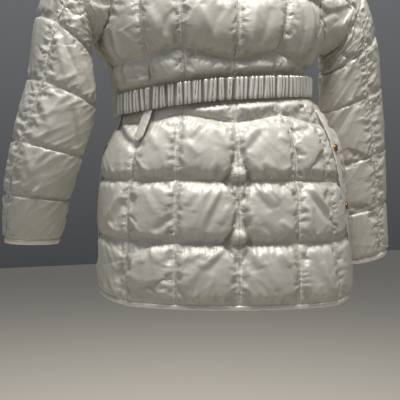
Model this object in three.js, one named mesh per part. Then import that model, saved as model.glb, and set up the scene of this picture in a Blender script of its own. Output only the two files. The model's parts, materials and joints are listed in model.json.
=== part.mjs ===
// Belted down jacket with side vents, filled out as it hangs, with nobody in it.
// Millimetres, +Z up. The origin is in the middle of the neck opening, level with the nape, where the
// wearer's neck and shoulders carry the jacket. The fronts face -Y, the back +Y, the wearer's left +X.
//
// The body is one smooth surface, surface(t, h). t is the angle round the body in degrees: 0 at the
// centre back, +90 at the wearer's left side, -90 at the right side and 180 at the centre front. h is
// the height at the centre back. Every panel is a wall between two seams of that surface: both cloth
// layers meet along its edges and its quilt lines, and down swells it between them.
import * as THREE from 'three';

// ---------------------------------------------------------------- driving sizes
const SEAM_GAP = 0.3;         // between two pieces that are sewn to each other
const FRONT_GAP = 1.2;        // between the two fronts, under the placket
const SEWN = 2.0;             // both cloth layers and the seam allowance, where they are stitched
const SWELL_OUT = 13;         // how far the middle of a baffle stands out of the body surface
const SWELL_IN = 5;           // and how far its lining side stands into the body
const SQUARENESS = 2.2;       // 2 is an ellipse; more is flatter across the back and the fronts

const HEM_LINE = -750;        // last quilt line, where the hem binding starts
const HEM_EDGE = -760;        // lower edge of the hem binding
const BINDING = 4.4;          // thickness of a binding round the sewn edge
const SHOULDER = -82;         // h of the section that passes over both shoulder tips
const UNDERARM = -258;        // h of the lowest point of an armhole
const ARMHOLE_REACH = 26;     // degrees from an armhole's middle to its back or front edge

const BELT_HEIGHT = -357;     // middle of the belt at the centre back
const BELT_SLANT = -0.07;     // fall of the belt for each millimetre towards the wearer's left
const BELT_SAG = 17;          // and this much more at the wearer's left side, where it hangs
const HALF_WAIST = 190;
const BELT_WIDTH = 40;
const BELT_THICK = 6;
const BELT_OFF = 12;          // the belt hangs this far off the sewn surface
const CINCH = 0.165;           // how far the belt draws the body in, as a share of its size
const CINCH_REACH = 66;       // how far above and below the belt the body is drawn in

const VENT_TOP = -390.75;     // a side vent opens just under the belt
const VENT_GAP = 3;           // between its two edges
const SIDE_GAP = 0.6;         // between the panels at a side seam, which runs at a slant
const FACING_WIDTH = 24;      // the facing strip along a vent's front edge
const PLACKET_WIDTH = 52;     // the strip over the meeting fronts
const STRIP_THICK = 2.4;
const SNAP_RADIUS = 7.5;
const SNAP_THICK = 3.2;
const SNAP_GAP = 0.8;         // under a flat snap on a curved strip

const COLLAR_HEIGHT = 66;
const CUFF_BINDING = 12;
const CUFF_GAP = 1;           // between a sleeve and its binding, whose sections aren't quite parallel

// ---------------------------------------------------------------- tables
// Sections of the body from the hem up: half the width, how deep the back and the fronts are, how far
// the section is turned towards the wearer's left, and how much its left side is higher.
const SECTIONS = [
  { h: -760, half: 249, back: 152, front: 146, turn: 13, roll: 0.02 },
  { h: -638, half: 246, back: 150, front: 144, turn: 12, roll: 0.016 },
  { h: -525, half: 240, back: 146, front: 140, turn: 11, roll: 0.01 },
  { h: -419, half: 229, back: 136, front: 132, turn: 9, roll: 0 },
  { h: -306, half: 214, back: 134, front: 130, turn: 3, roll: 0 },
  { h: -250, half: 225, back: 140, front: 138, turn: 1, roll: 0 },
  { h: -194, half: 230, back: 138, front: 136, turn: 0, roll: 0 },
  { h: -82, half: 214, back: 112, front: 108, turn: 0, roll: 0 },
  { h: 0, half: 78, back: 62, front: 68, turn: 0, roll: 0 },
];

// Quilt lines round the body: how much each is higher than at the centre back, where it crosses the
// middle seams, the outer seams, the sides and the centre front. Above the belt they make a chevron.
const QUILT_LINES = [
  { h: -760, middle: 0, outer: 0, side: 13, front: 0 },
  { h: -750, middle: 0, outer: 0, side: 13, front: 0 },
  { h: -638, middle: 0, outer: 0, side: 6, front: 0 },
  { h: -525, middle: 2, outer: 0, side: 0, front: 0 },
  { h: -419, middle: 17, outer: 2, side: 0, front: 0 },
  { h: -306, middle: 20, outer: 6, side: -8, front: 0 },
  { h: -194, middle: 20, outer: 8, side: 0, front: -4 },
  { h: -82, middle: 10, outer: 18, side: 32, front: -30 },
  { h: 0, middle: 3, outer: 6, side: 12, front: -70 },
];

// Long seams, in degrees from the centre back: middle, outer and side seam of the left and right half.
// The right half is drawn in under the belt and swings out at its vent, so it differs from the left.
const SEAMS = [
  { h: -760, middleL: 25, outerL: 51, sideL: 88, middleR: 25, outerR: 53, sideR: 84 },
  { h: -638, middleL: 25, outerL: 51, sideL: 88, middleR: 25, outerR: 49, sideR: 71 },
  { h: -525, middleL: 25, outerL: 50, sideL: 87, middleR: 25, outerR: 46, sideR: 60 },
  { h: -419, middleL: 25, outerL: 47, sideL: 84, middleR: 24, outerR: 44, sideR: 55 },
  { h: -360, middleL: 25, outerL: 46, sideL: 82, middleR: 23, outerR: 43, sideR: 62 },
  { h: -306, middleL: 25, outerL: 46, sideL: 84, middleR: 23, outerR: 46, sideR: 76 },
  { h: -258, middleL: 25, outerL: 46, sideL: 88, middleR: 23, outerR: 51, sideR: 87 },
  { h: -194, middleL: 25, outerL: 46, sideL: 88, middleR: 24, outerR: 56, sideR: 89 },
  { h: -82, middleL: 26, outerL: 50, sideL: 90, middleR: 26, outerR: 54, sideR: 90 },
  { h: 0, middleL: 28, outerL: 54, sideL: 90, middleR: 28, outerR: 54, sideR: 90 },
];
const FRONT_SEAM = 134;       // degrees from the centre back to the long seam of each front

// Sleeve sections from the cap to the cuff: the middle of the section, half its width and half its
// depth, how far its outer end is lifted, and the angles round it of the elbow seam and the under seam.
const SLEEVES = {
  left: [
    { x: 267, y: 2, z: -201, wide: 69, deep: 70, lift: 68, elbow: 76, under: 232 },
    { x: 287, y: 2, z: -263, wide: 56, deep: 64, lift: 38, elbow: 62, under: 226 },
    { x: 291, y: -2, z: -364, wide: 61, deep: 60, lift: 23, elbow: 45, under: 216 },
    { x: 316, y: -16, z: -466, wide: 61, deep: 57, lift: 14, elbow: 32, under: 208 },
    { x: 333, y: -38, z: -555, wide: 56, deep: 52, lift: 7, elbow: 20, under: 200 },
    { x: 338, y: -66, z: -634, wide: 50, deep: 46, lift: 2, elbow: 10, under: 194 },
  ],
  right: [
    { x: 286, y: 0, z: -202, wide: 72, deep: 68, lift: 66, elbow: 82, under: 232 },
    { x: 309, y: -6, z: -266, wide: 64, deep: 64, lift: 40, elbow: 86, under: 234 },
    { x: 326, y: -18, z: -358, wide: 64, deep: 60, lift: 25, elbow: 84, under: 234 },
    { x: 346, y: -30, z: -480, wide: 61, deep: 57, lift: 19, elbow: 80, under: 232 },
    { x: 361, y: -38, z: -590, wide: 56, deep: 52, lift: 16, elbow: 76, under: 230 },
    { x: 378, y: -44, z: -690, wide: 50, deep: 46, lift: 14, elbow: 72, under: 228 },
  ],
};

// ---------------------------------------------------------------- helpers
const rad = (degrees) => THREE.MathUtils.degToRad(degrees);
const mix = THREE.MathUtils.lerp;
const point = (x, y, z) => new THREE.Vector3(x, y, z);
const moved = (p, direction, distance) => p.clone().addScaledVector(direction, distance);
const spread = (from, to, steps) => Array.from({ length: steps + 1 }, (_, i) => mix(from, to, i / steps));

// One column of a table at height h, on a smooth curve that never swings past the table's values.
function column(table, name, h) {
  const last = table.length - 1;
  const k = THREE.MathUtils.clamp(table.findIndex((row) => row.h > h) - 1, 0, last - 1);
  const i = h >= table[last].h ? last - 1 : k;
  const rise = (j) => (table[j + 1][name] - table[j][name]) / (table[j + 1].h - table[j].h);
  const slope = (j) => {
    if (j === 0 || j === last) return rise(Math.min(j, last - 1));
    const below = rise(j - 1);
    const above = rise(j);
    return below * above <= 0 ? 0 : (2 * below * above) / (below + above);
  };
  const span = table[i + 1].h - table[i].h;
  const f = THREE.MathUtils.clamp((h - table[i].h) / span, 0, 1);
  return table[i][name] * (1 + 2 * f) * (1 - f) ** 2 + slope(i) * span * f * (1 - f) ** 2
    + table[i + 1][name] * f * f * (3 - 2 * f) + slope(i + 1) * span * f * f * (f - 1);
}

// A closed wall between an outer and an inner grid of points. Rows run up and columns run the way t
// does, so that the outer grid faces out. A looped wall joins its last column to its first.
function wall(outer, inner, looped = false) {
  const rows = outer.length;
  const columns = outer[0].length;
  const corners = [...outer.flat(), ...inner.flat()];
  const index = [];
  const at = (row, c, side) => side * rows * columns + row * columns + (c % columns);
  const quad = (a, b, c, d) => index.push(a, b, c, a, c, d);
  const stretches = looped ? columns : columns - 1;
  for (let c = 0; c < stretches; c += 1) {
    for (let row = 0; row + 1 < rows; row += 1) {
      quad(at(row, c, 0), at(row + 1, c, 0), at(row + 1, c + 1, 0), at(row, c + 1, 0));
      quad(at(row, c, 1), at(row, c + 1, 1), at(row + 1, c + 1, 1), at(row + 1, c, 1));
    }
    quad(at(0, c, 0), at(0, c + 1, 0), at(0, c + 1, 1), at(0, c, 1));
    quad(at(rows - 1, c + 1, 0), at(rows - 1, c, 0), at(rows - 1, c, 1), at(rows - 1, c + 1, 1));
  }
  for (let row = 0; !looped && row + 1 < rows; row += 1) {
    quad(at(row + 1, 0, 0), at(row, 0, 0), at(row, 0, 1), at(row + 1, 0, 1));
    quad(at(row, columns - 1, 0), at(row + 1, columns - 1, 0), at(row + 1, columns - 1, 1), at(row, columns - 1, 1));
  }
  const geometry = new THREE.BufferGeometry().setFromPoints(corners);
  geometry.setIndex(index);
  geometry.computeVertexNormals();
  return geometry;
}

// ---------------------------------------------------------------- materials and scene graph
const CLOTH = { color: 0xb9b3a6, roughness: 0.42, metalness: 0 };
const TRIM = { color: 0xcbc6ba, roughness: 0.3, metalness: 0 };
const BRASS = { color: 0x9c6b2c, roughness: 0.35, metalness: 1 };
const jacket = new THREE.Group();

function add(name, geometry, finish, parent = jacket) {
  const mesh = new THREE.Mesh(geometry, new THREE.MeshStandardMaterial(finish));
  mesh.name = name;
  parent.add(mesh);
  return mesh;
}

// ---------------------------------------------------------------- body surface
const seam = (name, side, h) => (side === 'left' ? 1 : -1) * column(SEAMS, name + (side === 'left' ? 'L' : 'R'), h);
const beltHeight = (x) => BELT_HEIGHT + BELT_SLANT * x - BELT_SAG * (Math.max(0, x) / HALF_WAIST) ** 2;

// How much higher than at the centre back the cloth of height h is, at angle t.
function rise(t, h) {
  const side = t >= 0 ? 'left' : 'right';
  const stops = [0, ...['middle', 'outer', 'side'].map((name) => Math.abs(seam(name, side, h))), 180];
  const lifts = [0, ...['middle', 'outer', 'side', 'front'].map((name) => column(QUILT_LINES, name, h))];
  const i = [3, 2, 1, 0].find((k) => Math.abs(t) >= stops[k]);
  return mix(lifts[i], lifts[i + 1], (Math.abs(t) - stops[i]) / (stops[i + 1] - stops[i]));
}

function surface(turned, h) {
  const t = turned - 360 * Math.round(turned / 360);
  const [half, back, front, turn, roll] = ['half', 'back', 'front', 'turn', 'roll']
    .map((name) => column(SECTIONS, name, h));
  const rounded = (value) => Math.sign(value) * Math.abs(value) ** (2 / SQUARENESS);
  const z = h + rise(t, h);
  const across = half * rounded(Math.sin(rad(t)));
  const along = (Math.cos(rad(t)) > 0 ? back : front) * rounded(Math.cos(rad(t)));
  const drawn = 1 - CINCH * Math.exp(-(((z - beltHeight(across)) / CINCH_REACH) ** 2));
  const p = point(across * drawn, along * drawn, z);
  const pivot = back * drawn * Math.sin(rad(turn));
  p.applyAxisAngle(point(0, 0, 1), -rad(turn));
  p.x -= pivot;
  p.z += roll * p.x;
  return p;
}

function outward(t, h) {
  const step = 0.5;
  const up = surface(t, Math.min(h + step, -0.01)).sub(surface(t, h - step));
  const round = surface(t + step, h).sub(surface(t - step, h));
  return up.cross(round).normalize();
}

// The angle that lies a distance in millimetres further round from t.
function besides(t, h, distance) {
  const step = 0.4 * Math.sign(distance || 1);
  const reach = surface(t + step, h).distanceTo(surface(t, h));
  return t + (step * Math.abs(distance)) / reach;
}

// ---------------------------------------------------------------- rows and swelling
const LINES = [HEM_LINE, -638, -525, -419, -306, -194, SHOULDER, 0];
const ARMHOLE_MIDDLE = (SHOULDER + UNDERARM) / 2;
const ARMHOLE_HALF = (SHOULDER - UNDERARM) / 2;
// Angles round an armhole, from its top over its back to its lowest point; one of them is on a quilt line.
const LINE_ANGLE = THREE.MathUtils.radToDeg(Math.acos((-194 - ARMHOLE_MIDDLE) / ARMHOLE_HALF));
const ARMHOLE_ANGLES = [...spread(0, LINE_ANGLE, 4), ...spread(LINE_ANGLE, 180, 3).slice(1)];
const armholeHeight = (angle) => ARMHOLE_MIDDLE + ARMHOLE_HALF * Math.cos(rad(angle));
const armholeReach = (h) => ARMHOLE_REACH * Math.sqrt(Math.max(0, 1 - ((h - ARMHOLE_MIDDLE) / ARMHOLE_HALF) ** 2));

const ROWS = [
  ...LINES.slice(0, 4).flatMap((line, i) => spread(line, LINES[i + 1], 4).slice(0, 4)),
  ...spread(-306, UNDERARM, 2).slice(0, 2),
  ...ARMHOLE_ANGLES.map(armholeHeight).reverse(),
  ...spread(SHOULDER, -SEAM_GAP, 3).slice(1),
];

// 0 on a line and 1 in the middle between two, rising fast from the stitches.
const bulge = (f) => Math.sin(Math.PI * THREE.MathUtils.clamp(f, 0, 1)) ** 0.65;

function swellUpright(h) {
  const k = Math.min(LINES.length - 2, LINES.findIndex((line) => line > h + 1e-6) - 1);
  const i = k < 0 ? LINES.length - 2 : k;
  return bulge((h - LINES[i]) / (LINES[i + 1] - LINES[i]));
}

// The belt presses the down flat where it runs.
function pressed(p) {
  return THREE.MathUtils.smoothstep(Math.abs(p.z - beltHeight(p.x)), BELT_WIDTH * 0.75, BELT_WIDTH * 1.4);
}

// A quilted panel between the angles from(h) and to(h), with one column at each share of its width.
// flat lists, for its first and last edge, a width in millimetres that stays unswollen at height h.
function panel(from, to, shares, flat = [() => 0, () => 0]) {
  const outer = [];
  const inner = [];
  ROWS.forEach((h) => {
    const start = from(h);
    const end = to(h);
    const width = surface(start, h).distanceTo(surface(end, h));
    const plain = flat.map((edge) => edge(h) / width);
    const places = shares.map((share) => mix(plain[0], 1 - plain[1], share));
    if (plain[0]) places[0] = 0;
    if (plain[1]) places[places.length - 1] = 1;
    const cells = places.map((place) => {
      const t = mix(start, end, place);
      const p = surface(t, h);
      const n = outward(t, h);
      const across = bulge((place - plain[0]) / (1 - plain[0] - plain[1]));
      const swell = across * swellUpright(h) * pressed(p) * Math.min(1, width / 90);
      return [moved(p, n, SEWN / 2 + SWELL_OUT * swell), moved(p, n, -SEWN / 2 - SWELL_IN * swell)];
    });
    outer.push(cells.map((cell) => cell[0]));
    inner.push(cells.map((cell) => cell[1]));
  });
  return wall(outer, inner);
}

// ---------------------------------------------------------------- back and fronts
const WIDE_PANEL = [0, 0.22, 0.5, 0.78, 1];
const NARROW_PANEL = [0, 0.3, 0.7, 1];
const EDGED_PANEL = [0, 0, 0.35, 0.7, 1];

// Lengths that the two edges of a side seam keep apart: a seam, and below the belt the open vent.
const sideGap = (h) => (h < VENT_TOP ? VENT_GAP : SIDE_GAP);

for (const side of ['left', 'right']) {
  const way = side === 'left' ? 1 : -1;
  const edge = (angle, distance) => (h) => besides(angle(h), h, way * distance(h));
  const half = (sign) => () => (sign * SEAM_GAP) / 2;
  const centre = () => 0;
  const middle = (h) => seam('middle', side, h);
  const outer = (h) => seam('outer', side, h);
  const backEdge = (h) => seam('side', side, h) - way * armholeReach(h);
  const frontEdge = (h) => seam('side', side, h) + way * armholeReach(h);
  const frontSeam = () => way * FRONT_SEAM;
  const front = () => way * 180;
  const halfFront = () => -FRONT_GAP / 2;
  const sorted = (a, b, shares, flat = [() => 0, () => 0]) => (way > 0
    ? panel(a, b, shares, flat)
    : panel(b, a, [...shares].reverse().map((share) => 1 - share), [...flat].reverse()));
  const pieces = {
    back_centre: sorted(edge(centre, half(1)), edge(middle, half(-1)), WIDE_PANEL),
    back_middle: sorted(edge(middle, half(1)), edge(outer, half(-1)), WIDE_PANEL),
    back_side: sorted(edge(outer, half(1)), edge(backEdge, (h) => -sideGap(h) / 2), NARROW_PANEL),
    front_side: sorted(edge(frontEdge, (h) => sideGap(h) / 2), edge(frontSeam, half(-1)), EDGED_PANEL,
      [(h) => (h < UNDERARM ? FACING_WIDTH + 2 : 2), () => 0]),
    front_centre: sorted(edge(frontSeam, half(1)), edge(front, halfFront), [0, 0.3, 0.65, 1, 1],
      [() => 0, () => PLACKET_WIDTH / 2 + 2]),
  };
  Object.entries(pieces).forEach(([name, geometry]) => add(`${name}_${side}`, geometry, CLOTH));
}

// ---------------------------------------------------------------- sleeves
// A point of the armhole's edge, and the way from there into the hole. The angle is 0 at the shoulder
// tip, 90 at the back, 180 at the underarm and 270 in front.
function armhole(side, angle) {
  const way = side === 'left' ? 1 : -1;
  const h = armholeHeight(angle);
  const t = seam('side', side, h) - way * ARMHOLE_REACH * Math.sin(rad(angle));
  const p = surface(t, h);
  const n = outward(t, h);
  const into = surface(seam('side', side, ARMHOLE_MIDDLE), ARMHOLE_MIDDLE).sub(p);
  into.addScaledVector(n, -into.dot(n)).normalize();
  return { p: moved(p, into, SEAM_GAP + SEWN / 2), into };
}

function sleeveRing(side, section, angle) {
  const way = side === 'left' ? 1 : -1;
  const out = section.wide * Math.cos(rad(angle));
  const tipped = point(way * out * Math.cos(rad(section.lift)), 0, out * Math.sin(rad(section.lift)));
  return point(way * section.x, section.y + section.deep * Math.sin(rad(angle)), section.z).add(tipped);
}

// The elbow seam and the under seam leave the armhole at two of its angles.
const ELBOW_START = ARMHOLE_ANGLES[3];
const UNDER_START = 360 - ARMHOLE_ANGLES[5];

// A point of the sleeve, at a share of the way round one of its two pieces; u counts the sections.
function sleevePoint(side, piece, share, u) {
  const angleOf = (elbow, under) => (piece === 'under' ? mix(elbow, under, share) : mix(under, elbow + 360, share));
  const knots = [
    armhole(side, angleOf(ELBOW_START, UNDER_START)).p,
    ...SLEEVES[side].map((section) => sleeveRing(side, section, angleOf(section.elbow, section.under))),
  ];
  return new THREE.CatmullRomCurve3(knots).getPoint(THREE.MathUtils.clamp(u / SLEEVES[side].length, 0, 1));
}

const SLEEVE_ROWS = [0, 0.35, 0.7, ...spread(1, 5, 4).flatMap((line) => [line, line + 0.22, line + 0.72]), 6];

function sleevePiece(side, piece) {
  const back = ARMHOLE_ANGLES;
  const whole = [...back, ...back.slice(0, -1).reverse().map((angle) => 360 - angle)];
  const turns = [...whole, ...whole.slice(1).map((angle) => angle + 360)];
  const [start, end] = piece === 'under' ? [ELBOW_START, UNDER_START] : [UNDER_START, ELBOW_START + 360];
  const shares = turns.filter((angle) => angle > start - 1e-6 && angle < end + 1e-6)
    .map((angle) => (angle - start) / (end - start));
  const outer = [];
  const inner = [];
  SLEEVE_ROWS.forEach((u) => {
    const step = 0.01;
    const cells = shares.map((share, k) => {
      const at = (ds, du) => sleevePoint(side, piece, THREE.MathUtils.clamp(share + ds, 0, 1), u + du);
      const along = at(0, step).sub(at(0, -step));
      const n = along.cross(at(step, 0).sub(at(-step, 0))).normalize().multiplyScalar(side === 'left' ? 1 : -1);
      if (u === 0) n.copy(armhole(side, mix(start, end, share)).into).negate();
      const swell = bulge(share) * bulge(u >= 1 ? u % 1 : 0.5 * u);
      const sewnEdge = k === 0 ? 1 : -1;
      const inset = k === 0 || k === shares.length - 1 ? sewnEdge * SEAM_GAP : 0;
      const round = at(step, 0).sub(at(-step, 0)).normalize();
      const p = moved(at(0, 0), round, inset);
      return [moved(p, n, SEWN / 2 + SWELL_OUT * 0.8 * swell), moved(p, n, -SEWN / 2 - SWELL_IN * 0.6 * swell)];
    });
    outer.push(cells.map((cell) => cell[0]));
    inner.push(cells.map((cell) => cell[1]));
  });
  return side === 'left' ? wall(outer, inner) : wall(outer.reverse(), inner.reverse());
}

function cuff(side) {
  const last = SLEEVES[side][SLEEVES[side].length - 1];
  const before = SLEEVES[side][SLEEVES[side].length - 2];
  const way = side === 'left' ? 1 : -1;
  const down = point(way * (last.x - before.x), last.y - before.y, last.z - before.z).normalize();
  const angles = spread(0, 360, 16).slice(0, -1);
  const ring = (drop, grow) => angles.map((angle) => {
    const section = { ...last, wide: last.wide + grow, deep: last.deep + grow };
    return moved(sleeveRing(side, section, angle), down, drop);
  });
  const drops = [CUFF_GAP, CUFF_BINDING];
  if (side === 'right') drops.reverse();
  return wall(drops.map((drop) => ring(drop, BINDING / 2)), drops.map((drop) => ring(drop, -BINDING / 2)), true);
}

for (const side of ['left', 'right']) {
  add(`sleeve_upper_${side}`, sleevePiece(side, 'upper'), CLOTH);
  add(`sleeve_under_${side}`, sleevePiece(side, 'under'), CLOTH);
  add(`cuff_${side}`, cuff(side), TRIM);
}

// ---------------------------------------------------------------- strips that lie on the body
// A strip over rows of heights: at(h) lists the angles of its columns. It starts off above the sewn
// surface and is thick deep.
function strip(heights, at, off, thick) {
  const layer = (distance) => heights.map((h) => at(h).map((t) => moved(surface(t, h), outward(t, h), distance)));
  return wall(layer(off + thick), layer(off));
}

function angles(from, to, steps) {
  return spread(from, to, steps);
}

const hemRows = [HEM_EDGE, HEM_LINE - 2 * SEAM_GAP];
const vent = (side, h, sign) => besides(seam('side', side, h), h, (sign * VENT_GAP) / 2);
add('hem_back', strip(hemRows, (h) => [
  ...angles(vent('right', h, 1), seam('outer', 'right', h), 3),
  ...angles(seam('outer', 'right', h), seam('middle', 'right', h), 3).slice(1),
  ...angles(seam('middle', 'right', h), 0, 3).slice(1),
  ...angles(0, seam('middle', 'left', h), 3).slice(1),
  ...angles(seam('middle', 'left', h), seam('outer', 'left', h), 3).slice(1),
  ...angles(seam('outer', 'left', h), vent('left', h, -1), 3).slice(1),
], -BINDING / 2, BINDING), TRIM);
add('hem_front_left', strip(hemRows, (h) => [
  ...angles(vent('left', h, 1), FRONT_SEAM, 4),
  ...angles(FRONT_SEAM, besides(180, h, -FRONT_GAP / 2), 4).slice(1),
], -BINDING / 2, BINDING), TRIM);
add('hem_front_right', strip(hemRows, (h) => [
  ...angles(besides(-180, h, FRONT_GAP / 2), -FRONT_SEAM, 4),
  ...angles(-FRONT_SEAM, vent('right', h, -1), 4).slice(1),
], -BINDING / 2, BINDING), TRIM);

function snap(name, t, h, off) {
  const dome = [[0, 0], [SNAP_RADIUS, 0], [SNAP_RADIUS, SNAP_THICK * 0.35], [SNAP_RADIUS * 0.7, SNAP_THICK],
    [0, SNAP_THICK]].map(([r, y]) => new THREE.Vector2(r, y));
  const cap = add(name, new THREE.LatheGeometry(dome, 12), BRASS);
  const n = outward(t, h);
  cap.position.copy(moved(surface(t, h), n, off + SNAP_GAP));
  cap.quaternion.setFromUnitVectors(point(0, 1, 0), n);
}

const stripOff = SEWN / 2 + SEAM_GAP;
const VENT_SNAPS = [-464, -576];
for (const side of ['left', 'right']) {
  const way = side === 'left' ? 1 : -1;
  const rows = [HEM_LINE, ...ROWS.filter((h) => h > HEM_LINE && h < VENT_TOP), VENT_TOP];
  const edge = (h, share) => besides(seam('side', side, h), h, way * (VENT_GAP / 2 + share * FACING_WIDTH));
  const shares = way > 0 ? [0, 0.5, 1] : [1, 0.5, 0];
  add(`vent_facing_${side}`, strip(rows, (h) => shares.map((share) => edge(h, share)), stripOff, STRIP_THICK), TRIM);
  VENT_SNAPS.forEach((h, i) => snap(`vent_snap_${side}_${i + 1}`, edge(h, 0.5), h, stripOff + STRIP_THICK));
}

// ---------------------------------------------------------------- collar and placket
// The stand collar rises from the neck line; v is 0 at its seam and 1 at its upper edge.
function collarPoint(t, v) {
  const neck = surface(t, 0);
  const height = mix(SEWN / 2 + 3 * SEAM_GAP, COLLAR_HEIGHT, v);
  return point(neck.x * (1 - 0.05 * v), neck.y * (1 - 0.05 * v), neck.z + height);
}

const frontEnd = (way) => besides(way * 180, -1, (-way * FRONT_GAP) / 2);
const plainEnd = (way) => besides(way * 180, -1, -way * (PLACKET_WIDTH / 2 + 2));
const COLLAR_ROWS = [0, 0.25, 0.5, 0.75, 1];
function collar() {
  const half = [28, 54, 72, 90, 112, 134, plainEnd(1), frontEnd(1)];
  const around = [...half.map((t) => -t).reverse(), 0, ...half];
  const layer = (thick, swell) => COLLAR_ROWS.map((v) => around.map((t) => {
    const n = collarPoint(t, v).setZ(0).normalize();
    const share = (t - plainEnd(-1)) / (plainEnd(1) - plainEnd(-1));
    return moved(collarPoint(t, v), n, thick + swell * bulge((v * 2) % 1) * Math.min(1, 3 * bulge(share)));
  }));
  return wall(layer(SEWN / 2, 9), layer(-SEWN / 2, -4));
}
add('collar', collar(), CLOTH);

// It stands off more over the hem binding and over the curve below the neck.
function placket() {
  const rows = [HEM_EDGE, ...ROWS];
  const proud = (h) => (h < HEM_LINE + 5 || h > SHOULDER - 5 ? 1.5 : 0);
  const places = (h) => [-0.5, 0, 0.5].map((share) => besides(180, h, share * PLACKET_WIDTH));
  const layer = (off) => [
    ...rows.map((h) => places(h).map((t) => moved(surface(t, h), outward(t, h), off + proud(h)))),
    ...COLLAR_ROWS.slice(1).map((v) => places(-1).map((t) => {
      const n = collarPoint(t, v).setZ(0).normalize();
      return moved(collarPoint(t, v), n, off + proud(0));
    })),
  ];
  return wall(layer(stripOff + STRIP_THICK), layer(stripOff));
}
add('front_placket', placket(), CLOTH);
[-700, -590, -480, -290, -196, -102].forEach((h, i) => {
  snap(`front_snap_${i + 1}`, 180, h, stripOff + STRIP_THICK);
});

// ---------------------------------------------------------------- belt and belt loop
// The height h whose cloth lies at the height z, at angle t.
function heightOf(t, z) {
  let h = z;
  for (let i = 0; i < 6; i += 1) h += z - surface(t, h).z;
  return h;
}

function beltPoint(t, off, lift) {
  let z = BELT_HEIGHT;
  for (let i = 0; i < 4; i += 1) z = beltHeight(surface(t, heightOf(t, z)).x);
  const h = heightOf(t, z);
  const n = outward(t, h).setZ(0).normalize();
  return moved(surface(t, h), n, off).add(point(0, 0, lift));
}

function band(from, to, steps, off, thick, width) {
  const layer = (distance) => [-width / 2, width / 2]
    .map((lift) => spread(from, to, steps).map((t) => beltPoint(t, distance, lift)));
  return wall(layer(off + thick), layer(off));
}

const beltEnd = 180 - 0.4;
add('belt', band(-beltEnd, beltEnd, 40, BELT_OFF, BELT_THICK, BELT_WIDTH), CLOTH);
add('belt_tab', band(180 - 14, 180 + 14, 6, BELT_OFF + BELT_THICK + SEAM_GAP, STRIP_THICK, BELT_WIDTH), CLOTH);
const tabFace = BELT_OFF + BELT_THICK + SEAM_GAP + STRIP_THICK;
snap('belt_snap', 180, heightOf(180, beltPoint(180, 0, 0).z), tabFace);

// The loop is sewn on over the outer seam of the left back and hangs out under the belt.
const LOOP = [
  { h: -457, aside: 0, half: 4, off: 9 },
  { h: -452, aside: 0, half: 7, off: 9.5 },
  { h: -432, aside: -1, half: 7.5, off: 10 },
  { h: -410, aside: -1, half: 7.5, off: 8.5 },
  { h: -393, aside: 0, half: 7.5, off: 6 },
  { h: -372, aside: 0, half: 7.5, off: 5 },
];
function beltLoop() {
  const layer = (thick) => LOOP.map(({ h, aside, half, off }) => [-half, 0, half].map((place) => {
    const t = besides(seam('outer', 'left', h), h, aside + place);
    return moved(surface(t, h), outward(seam('outer', 'left', h), h), off + thick);
  }));
  return wall(layer(1), layer(-1));
}
add('belt_loop', beltLoop(), CLOTH);

export default jacket;
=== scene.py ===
import json
import math

import bmesh
import bpy
import numpy as np
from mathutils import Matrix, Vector

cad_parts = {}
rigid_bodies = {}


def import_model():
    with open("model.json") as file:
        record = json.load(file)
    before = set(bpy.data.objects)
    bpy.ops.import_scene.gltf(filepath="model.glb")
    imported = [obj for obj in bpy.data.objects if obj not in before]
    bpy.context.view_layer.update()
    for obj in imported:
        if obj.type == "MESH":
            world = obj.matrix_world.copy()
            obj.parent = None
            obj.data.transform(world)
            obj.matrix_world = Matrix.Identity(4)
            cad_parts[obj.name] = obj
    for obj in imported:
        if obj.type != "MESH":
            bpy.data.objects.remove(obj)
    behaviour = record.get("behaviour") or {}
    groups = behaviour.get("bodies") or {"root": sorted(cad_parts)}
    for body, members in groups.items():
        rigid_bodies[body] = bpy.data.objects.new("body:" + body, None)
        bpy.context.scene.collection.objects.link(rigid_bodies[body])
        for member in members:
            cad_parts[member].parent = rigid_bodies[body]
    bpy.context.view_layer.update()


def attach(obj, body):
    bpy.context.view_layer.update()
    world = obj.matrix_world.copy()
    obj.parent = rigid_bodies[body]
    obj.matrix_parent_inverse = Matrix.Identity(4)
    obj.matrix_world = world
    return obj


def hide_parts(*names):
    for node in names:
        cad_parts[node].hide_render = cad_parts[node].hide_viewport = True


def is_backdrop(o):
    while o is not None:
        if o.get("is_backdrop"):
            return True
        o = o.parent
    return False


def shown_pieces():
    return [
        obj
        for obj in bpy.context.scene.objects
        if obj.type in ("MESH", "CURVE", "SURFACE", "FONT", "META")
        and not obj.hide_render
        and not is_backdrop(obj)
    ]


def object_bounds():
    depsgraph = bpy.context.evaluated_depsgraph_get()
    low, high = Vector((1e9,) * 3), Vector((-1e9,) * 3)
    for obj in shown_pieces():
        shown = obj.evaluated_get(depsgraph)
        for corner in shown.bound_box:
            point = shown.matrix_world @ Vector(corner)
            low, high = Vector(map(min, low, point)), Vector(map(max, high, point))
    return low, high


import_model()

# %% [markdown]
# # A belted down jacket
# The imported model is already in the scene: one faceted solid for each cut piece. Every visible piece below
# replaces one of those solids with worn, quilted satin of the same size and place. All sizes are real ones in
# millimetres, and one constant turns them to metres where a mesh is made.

MM = 0.001

# %% [markdown]
# ## The sizes of the cut
# These tables repeat the sizes that the solids were cut by: sections of the body, how the quilt lines rise
# and fall, and where the long seams run. The looks then start from the very same surface.

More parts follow.
